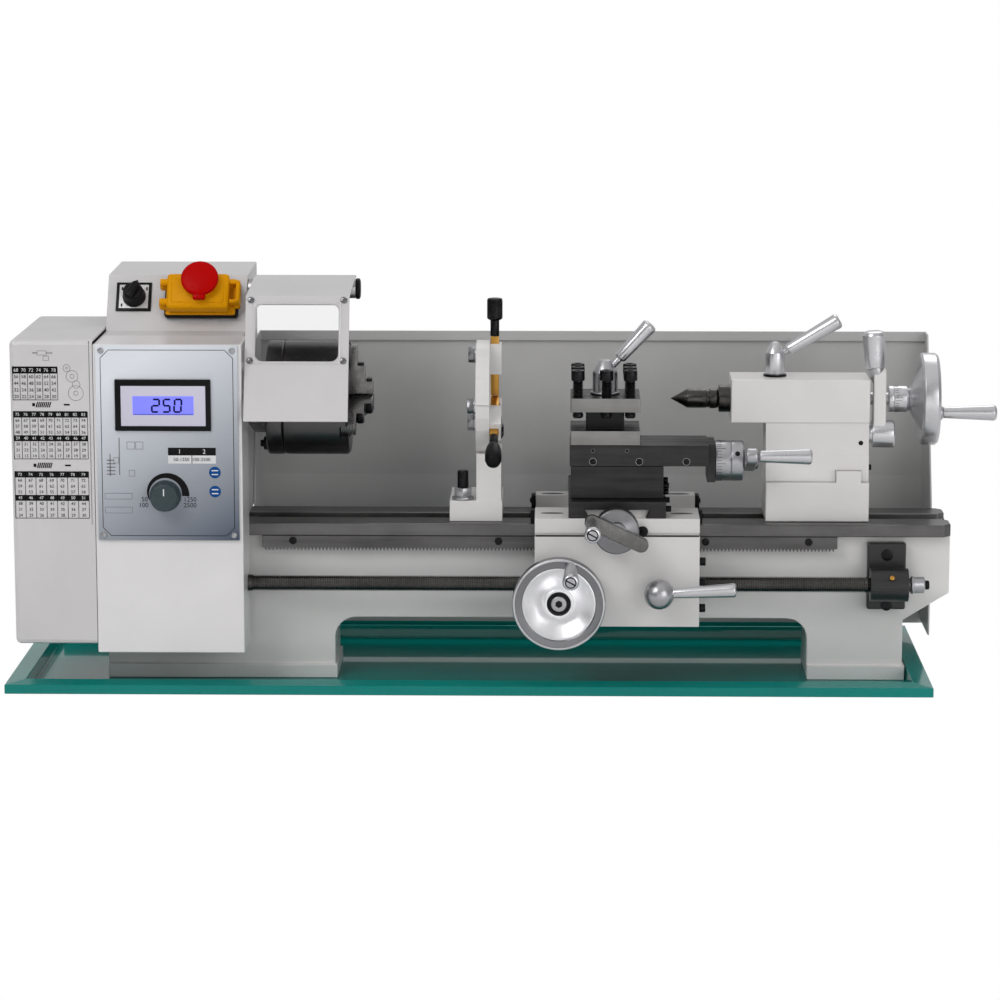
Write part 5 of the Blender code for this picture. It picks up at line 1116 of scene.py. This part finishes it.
def make_carriage_wheel():
    """Dished handwheel with a bright rim, socket screw and turned handle."""
    x, z = 78, 85
    rim, edge, dish, *middle = turnings(
        (x, APRON_FRONT, z), FRONT,
        (dark_chrome, [(28, 10.5), (35, 16), (39.4, 18.6), (40, 20), (40, 28), (39, 29.2), (38, 29.4), (37.4, 29.2),
                       (32.2, 29), (31.4, 28.4), (31.2, 24), (31, 12)], 96, 0.25),
        (bright_chrome, [(38.2, 12), (38.2, 27), (39.8, 28.6), (39.9, 29.4), (39, 30.4), (37.8, 30.4), (37.4, 29),
                         (37, 12)], 96, 0.15),
        (polished_dish, [(6, -10.3), (6, 0.3), (13, 0.3), (13, 8), (28, 10.5), (31, 20), (31.4, 28.4), (30.6, 28.6),
                         (29.8, 27.2), (14.6, 16.6), (13.2, 16.8), (13.2, 25.4), (12.4, 26.2), (10.4, 26.2),
                         (9.8, 22), (4, 22)], 96, 0.2),
        # Painted shade: a black ring stands in for the shade at the bottom of the screw's counterbore.
        (black_oxide, [(9.9, 21.5), (9.9, 22.6), (7.2, 22.6)], 40, 0.1),
        (satin_chrome, [(6.6, 22), (6.6, 26.6), (6, 27.2), (3.4, 27.2)], 40, 0.2),
        # Painted shade: a black hexagon stands in for the shade inside the screw's socket.
        (black_oxide, [(3.3, 27), (3.3, 27.4)], 6, 0.02))
    x, z = x + 10, z + 31.5
    grip = taper((x, -132, z), (x, -199.7, z), 5, 7)
    end = slotted_end(x, -199.8, z)
    collar = turned("collar", satin_chrome, [(4, 0), (6.4, 0.4), (6.4, 3), (5, 4)], (x, -129, z), FRONT, 32, 0.2)
    whole = joined("carriage_handwheel_finished", [dish, rim, edge, *middle, grip, collar, *end], "carriage_wheel")
    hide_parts("carriage_handwheel")


def make_half_nut_lever():
    """A lever with a ball hub on the apron."""
    x, z = 164, 92
    angles = [math.radians(a) for a in range(32, 180, 8)]
    ball = turned("ball", satin_chrome, [(5, -9), (5, 0.3), (8.5, 0.3), (8.5, 2), (6.5, 3), (6.5, 6)] +
                  [(13 * math.sin(a), 18 - 13 * math.cos(a)) for a in angles],
                  (x, APRON_FRONT, z), FRONT, 48, 0.1, 60)
    arm = taper((x + 9, -126.5, z + 1), (x + 66, -130, z + 5), 4.3, 6.2)
    root = turned("root", satin_chrome, [(3.6, 0), (3.6, 7)], (x + 8, -126.4, z + 0.8), (57, -3.5, 4), 24, 0.1)
    whole = joined("half_nut_lever_finished", [ball, arm, root], "half_nut_lever")
    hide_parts("half_nut_lever")


def graduations(radius, start, length, place, axis, count):
    """Engraved lines round a collar, every fifth one long."""
    marks = []
    turn = aim(axis).to_matrix()
    for i in range(count):
        reach = length if i % 5 == 0 else length * 0.55
        spin = (turn @ Matrix.Rotation(TURN * i / count, 3, "Z")).to_4x4()
        mark = cube((0.3, 0.3, reach), (radius, 0, start + reach / 2))
        mark.data.transform(Matrix.Translation(Vector(place) * MM) @ spin)
        marks.append(finish_piece(mark, "mark", print_black))
    return joined("graduations", marks)


def make_cross_crank():
    """Graduated collar, double-ended arm with a slotted screw, and the handle."""
    x, z = 127, 147
    place = (x, APRON_FRONT - 0.3, z)
    # Painted shade: this collar takes the darker chrome for the shade it shows; the compound's collar of the same
    # kind stays satin steel.
    collar = turned("collar", dark_chrome, [(4, -93), (4, 0.2), (16, 0.2), (16, 7), (19.5, 8.5), (19.5, 21),
                                            (18.5, 22.4), (9, 23), (9, 30)], place, FRONT, 80, 0.25)
    marks = graduations(19.5, 9, 7, place, FRONT, 50)
    tilt = math.radians(25)
    ends = [(x + s * 23 * math.cos(tilt), z - s * 23 * math.sin(tilt)) for s in (-1, 1)]
    arm = outline_plate("arm", jaw_steel, around([(end, 6.4) for end in ends]), (-140, -132.5), "y", 1.2, 3)
    x, z = ends[0]
    grip = taper((x, -141, z), (x, -200, z), 5, 7)
    end = slotted_end(x, -199.8, z)
    whole = joined("cross_crank_finished", [collar, marks, arm, grip] + end, "cross_crank")
    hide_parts("cross_crank")


# ---- compound and tool post
def finish_compound():
    """Gib and lock screws on the slides, and the compound's crank."""
    for i, (x, z, r) in enumerate(((107, 210.3, 1.7), (136.4, 210.3, 1.7), (107, 200.8, 3.3), (147, 200.8, 3.3),
                                   (187.6, 200.9, 3.3))):
        rows = [(dark_chrome, [(r, -0.3), (r, 0.25), (r * 0.84, 0.25), (r * 0.82, -0.2)], 28, 0.05),
                (black_oxide, [(r * 0.84, -0.3), (r * 0.84, 0.1)], 24, 0.02)]
        if r > 2:
            rows.append((black_oxide, [(1.5, 0), (1.5, 1.4), (1.1, 1.6)], 20, 0.1))
        joined(f"gib_screw_{i + 1}", turnings((x, -86.5, z), FRONT, *rows), "top_slide")
    for i, y in enumerate((-95, -50, -5)):
        socket_screw(f"cross_gib_screw_{i + 1}", (170, y, 161.2), RIGHT, 2.6, 4.6, "cross_slide")
    for i, y in enumerate((-78, -48)):
        socket_screw(f"compound_gib_screw_{i + 1}", (168, y, 178.5), RIGHT, 2.6, 5, "compound_base")
    socket_screw("compound_lock_screw", (168, -70, 171.8), RIGHT, 2.6, 5, "compound_base")
    make_compound_crank()


def make_compound_crank():
    """Graduated collar, one-sided arm and handle."""
    x, y, z = place = (213.3, -58, 197.5)
    collar = turned("collar", satin_chrome,
                    [(4, -115), (4, 0), (17.3, 0), (17.5, 0.7), (17.5, 13), (16.8, 13.6), (17.5, 14.2), (17.5, 23.5),
                     (16.6, 24.6), (9, 25)], place, RIGHT, 96, 0.2)
    marks = graduations(17.5, 1.2, 8, place, RIGHT, 40)
    tilt = math.radians(13.5)
    end = (y - 47 * math.cos(tilt), z + 47 * math.sin(tilt))
    arm = outline_plate("arm", satin_chrome, around([((y, z), 9.2), (end, 7)]), (x + 25, x + 34.5), "x", 1.3, 3)
    cap = turned("cap", dark_chrome, [(7.4, 34.4), (7.4, 37), (6.4, 38)], place, RIGHT, 40, 0.2)
    out = Vector((0, -math.cos(0.5), math.sin(0.5)))
    # Painted shade: a black disc stands in for the shade inside a hole in the collar.
    hole = turned("hole", black_oxide, [(2.2, 0), (2.2, 0.3)], Vector((x + 19, y, z)) + out * 17.5, out, 20, 0.02)
    grip = taper((x + 35.5, *end), (294.8, *end), 5, 7)
    whole = joined("compound_crank_finished", [collar, marks, arm, cap, hole, grip], "compound_crank")
    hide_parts("compound_crank")


def tool_bolt(name, x, y):
    """A cap screw that clamps a tool, with its threaded shank."""
    head = turned("head", black_oxide, [(5.9, 270.6), (5.9, 279), (5.4, 279.5)], (x, y, 0), UP, 36, 0.4)
    cut_with(head, [prism(6, 3.3, 9, (x, y, 279.5), UP)])
    threads = [(black_oxide, [(3.9, h), (4.6, h + 0.7), (3.9, h + 1.4)], 20, 0)
               for h in (256.6 + k * 1.6 for k in range(8))]
    rest = turnings((x, y, 0), UP, (black_oxide, [(3.9, 238), (3.9, 271)], 24, 0.1),
                    (black_oxide, [(3, 238.4), (4.6, 239), (4.6, 241.6)], 24, 0.1), *threads)
    return joined(name, [head] + rest, "tool_post")


def make_tool_post_parts():
    """Eight tool bolts and the post's lever."""
    cx, cy, r = 117.5, -58, 21.6
    first = tool_bolt("tool_bolt_1", cx - r - 2, cy - r)
    spots = [(-r, 1), (-r, r), (1, -r), (1, r), (r, -r), (r, -1), (r, r)]
    for i, (dx, dy) in enumerate(spots):
        copied(first, f"tool_bolt_{i + 2}", (dx + r + (2 if dx > -r else 0), dy + r, 0), "tool_post")
    low = 256.3
    hub = turned("hub", satin_chrome, [(6.3, 0), (12.6, 0), (13, 0.8), (12.4, 1.6), (10.8, 2), (10.8, 18.5),
                                       (5.6, 28.4), (4.4, 29.4)], (cx, cy, low), UP, 64, 0.3)
    root = turned("root", satin_chrome, [(3, 0), (3, 12)], (cx + 4, cy, low + 21.5), (25, 0, 27.5), 28, 0.1)
    grip = taper((cx + 12, cy, low + 30.3), (cx + 39.5, cy, low + 60.5), 5.3, 6.8)
    whole = joined("tool_post_lever_finished", [hub, root, grip], "tool_post_lever")
    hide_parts("tool_post_lever")


# ---- tailstock
def finish_tailstock():
    y, z = SPINDLE
    axis = (0, y, z)
    keep("tailstock_base", cream_paint, 0.9)
    keep("tailstock_body", cream_paint, 0.9)
    quill = turned("quill_finished", dark_bar, [(7.5, 217.6), (11.4, 217.6), (12, 218.2), (12, 330), (5.3, 330)],
                   axis, RIGHT, 64, 0.15, body="quill")
    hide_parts("quill")
    point = [(0.2, 175.8), (0.5, 176.3), (8.2, 190), (8.4, 190.6), (8.4, 206.5), (7.9, 207), (7.9, 209.5), (8.8, 210),
             (8.8, 215), (8, 217.2), (7.2, 217.3), (6.2, 257.5)]
    centre = turned("dead_centre_finished", dark_bar, point, axis, RIGHT, 64, 0.12, body="quill")
    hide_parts("dead_centre")
    wheel = turned("wheel", bright_chrome,
                   [(5, 285), (5, 349.4), (5.5, 349.4), (5.5, 366.6), (11, 366.6), (11.5, 367.4), (11.5, 371),
                    (10.9, 371.4), (11.5, 371.8), (11.5, 382.6), (10.6, 383.6), (9, 384), (12, 386), (16, 388),
                    (29, 396.6), (33, 394.4), (38.6, 394), (40.5, 396), (40.5, 407), (38.6, 409.6), (35, 409.6),
                    (31, 404), (12, 398), (11, 403.6), (8.6, 404), (8, 408), (3, 408)], axis, RIGHT, 96, 0.2)
    marks = graduations(11.5, 372.4, 5.5, axis, RIGHT, 30)
    spot = (y - 28, z - 8)
    collar = turned("collar", satin_chrome, [(4, 402), (6.2, 402.5), (6.2, 411), (5, 412)], (0, *spot), RIGHT,
                    32, 0.2)
    grip = taper((411, *spot), (458.8, *spot), 4.8, 7)
    whole = joined("tailstock_handwheel_finished", [wheel, marks, collar, grip], "tail_wheel")
    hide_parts("tailstock_handwheel")
    make_quill_lock()
    make_clamp_lever()
    # Painted shade: a black disc stands in for the shade inside a hole in the tailstock.
    turned("tailstock_hole", black_oxide, [(2.1, -0.2), (2.1, 0.12)], (341.5, -39.8, 210.3), FRONT, 24,
           0.02, body="tailstock")
    socket_screw("set_over_screw", (349, -34, 188), RIGHT, 2.6, 2.4, "tailstock")
    turned("barrel_screw", black_oxide, [(2.2, -0.6), (2.2, 0.9), (1.2, 0.9), (1.1, 0.5)], (246, y - 17.4, 228.8),
           (0, -0.62, -0.78), 24, 0.1, body="tailstock")


def make_quill_lock():
    x, y = 267, SPINDLE[0]
    washer = turned("washer", black_oxide, [(10.2, 0), (10.2, 1.6)], (x, y, 266.2), UP, 48, 0.2)
    hub = turned("hub", bright_chrome, [(4, -7), (4, 1.4), (8.6, 1.4), (8.6, 20.5), (3.6, 29.2), (2.6, 30)],
                 (x, y, 266.3), UP, 56, 0.3)
    root = turned("root", satin_chrome, [(3.2, 0), (3.2, 10)], (x + 3.5, y, 284.6), (56, 0, 31), 28, 0.1)
    grip = taper((x + 10.5, y, 288.8), (x + 56, y, 315.8), 5, 6.8)
    whole = joined("quill_lock_finished", [washer, hub, root, grip], "quill_lock")
    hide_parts("quill_lock_lever")


def make_clamp_lever():
    y, z = -30, 217
    shaft = turned("shaft", bright_chrome, [(8, 326), (8, 351.6), (12, 351.6), (12, 370), (11, 371)], (0, y, z),
                   RIGHT, 64, 0.3)
    arm = outline_plate("arm", cream_paint, around([((y, z), 9), ((y, 268), 7)]), (352.4, 363.3), "x", 1.4, 3)
    neck = turned("neck", satin_chrome, [(5, 0), (6.6, 8), (7.6, 14)], (357.4, y, 262), (-4, 0, 15), 32, 0.2)
    grip = taper((353.6, y, 273.5), (352, y, 307.8), 8.2, 10.2)
    whole = joined("tailstock_clamp_finished", [shaft, arm, neck, grip], "tail_clamp")
    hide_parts("tailstock_clamp_lever")


# ---- stage, light and camera
def seen_directly(tree):
    """One for what the camera sees, straight on or through the window."""
    path = tree.nodes.new("ShaderNodeLightPath")
    return arithmetic(tree, "MAXIMUM", path.outputs["Is Camera Ray"], path.outputs["Is Transmission Ray"])


def make_floor_finish():
    """A pale matt floor that shows as plain white."""
    material, tree, shader = new_material("pale floor")
    shader.inputs["Base Color"].default_value = (0.82, 0.82, 0.82, 1)
    shader.inputs["Roughness"].default_value = 0.9
    mix = tree.nodes.new("ShaderNodeMixShader")
    glow = tree.nodes.new("ShaderNodeEmission")
    for source, socket in ((seen_directly(tree), mix.inputs["Fac"]), (shader.outputs[0], mix.inputs[1]),
                           (glow.outputs[0], mix.inputs[2]),
                           (mix.outputs[0], tree.nodes["Material Output"].inputs["Surface"])):
        tree.links.new(source, socket)
    return material


def make_studio_light():
    """White where it is seen; brighter overhead and behind than on the camera's side."""
    world = bpy.data.worlds.new("studio")
    bpy.context.scene.world = world
    world.use_nodes = True
    tree = world.node_tree
    sky = tree.nodes["Background"].inputs
    ahead = separated(tree, coordinate(tree, "Generated"))
    around_it = arithmetic(tree, "MAXIMUM", ramp(tree, ahead["Y"], -0.8, 0.5, 0.08, 0.55),
                           ramp(tree, ahead["Z"], 0.15, 0.9, 0.0, 0.72))
    sky["Color"].default_value = (1, 1, 1, 1)
    tree.links.new(arithmetic(tree, "MAXIMUM", around_it, seen_directly(tree)), sky["Strength"])


LAMPS = (("key light", (-1.3, -1.7, 1.9), 1.3, 23), ("fill light", (1.6, -2.0, 0.7), 1.5, 15),
         ("front light", (0.1, -2.3, 0.3), 1.2, 4), ("rim light", (0.5, 1.5, 1.9), 1.2, 8))


def make_stage():
    ready()
    bpy.ops.mesh.primitive_plane_add(size=12, location=(0, 0, -0.0002))
    floor = bpy.context.object
    floor.name = "floor"
    floor.data.materials.append(make_floor_finish())
    make_studio_light()
    for name, place, size, power in LAMPS:
        lamp = bpy.data.lights.new(name, "AREA")
        lamp.size = size
        lamp.energy = power
        obj = bpy.data.objects.new(name, lamp)
        bpy.context.scene.collection.objects.link(obj)
        obj.location = place
        obj.rotation_euler = (Vector((0, 0, 0.15)) - Vector(place)).to_track_quat("-Z", "Y").to_euler()


def make_camera():
    lens = bpy.data.cameras.new("camera")
    lens.lens = 127.48
    lens.sensor_width = 36
    lens.clip_start = 0.05
    camera = bpy.data.objects.new("camera", lens)
    bpy.context.scene.collection.objects.link(camera)
    camera.location = (0.08135, -3.10302, 0.69515)
    camera.rotation_euler = (math.radians(80.069), 0, math.radians(1.036))
    bpy.context.scene.camera = camera


make_camera()
make_stage()
finish_bed()
make_thread()
finish_headstock()
make_gear_cover_print()
make_panel_details()
make_speed_knob()
make_selector()
make_stop_switch()
finish_guard()
make_backplate()
make_chuck_body()
make_jaws()
finish_steady()
finish_carriage()
make_carriage_wheel()
make_half_nut_lever()
make_cross_crank()
finish_compound()
make_tool_post_parts()
finish_tailstock()

bpy.context.scene.view_settings.view_transform = "Standard"
ready()
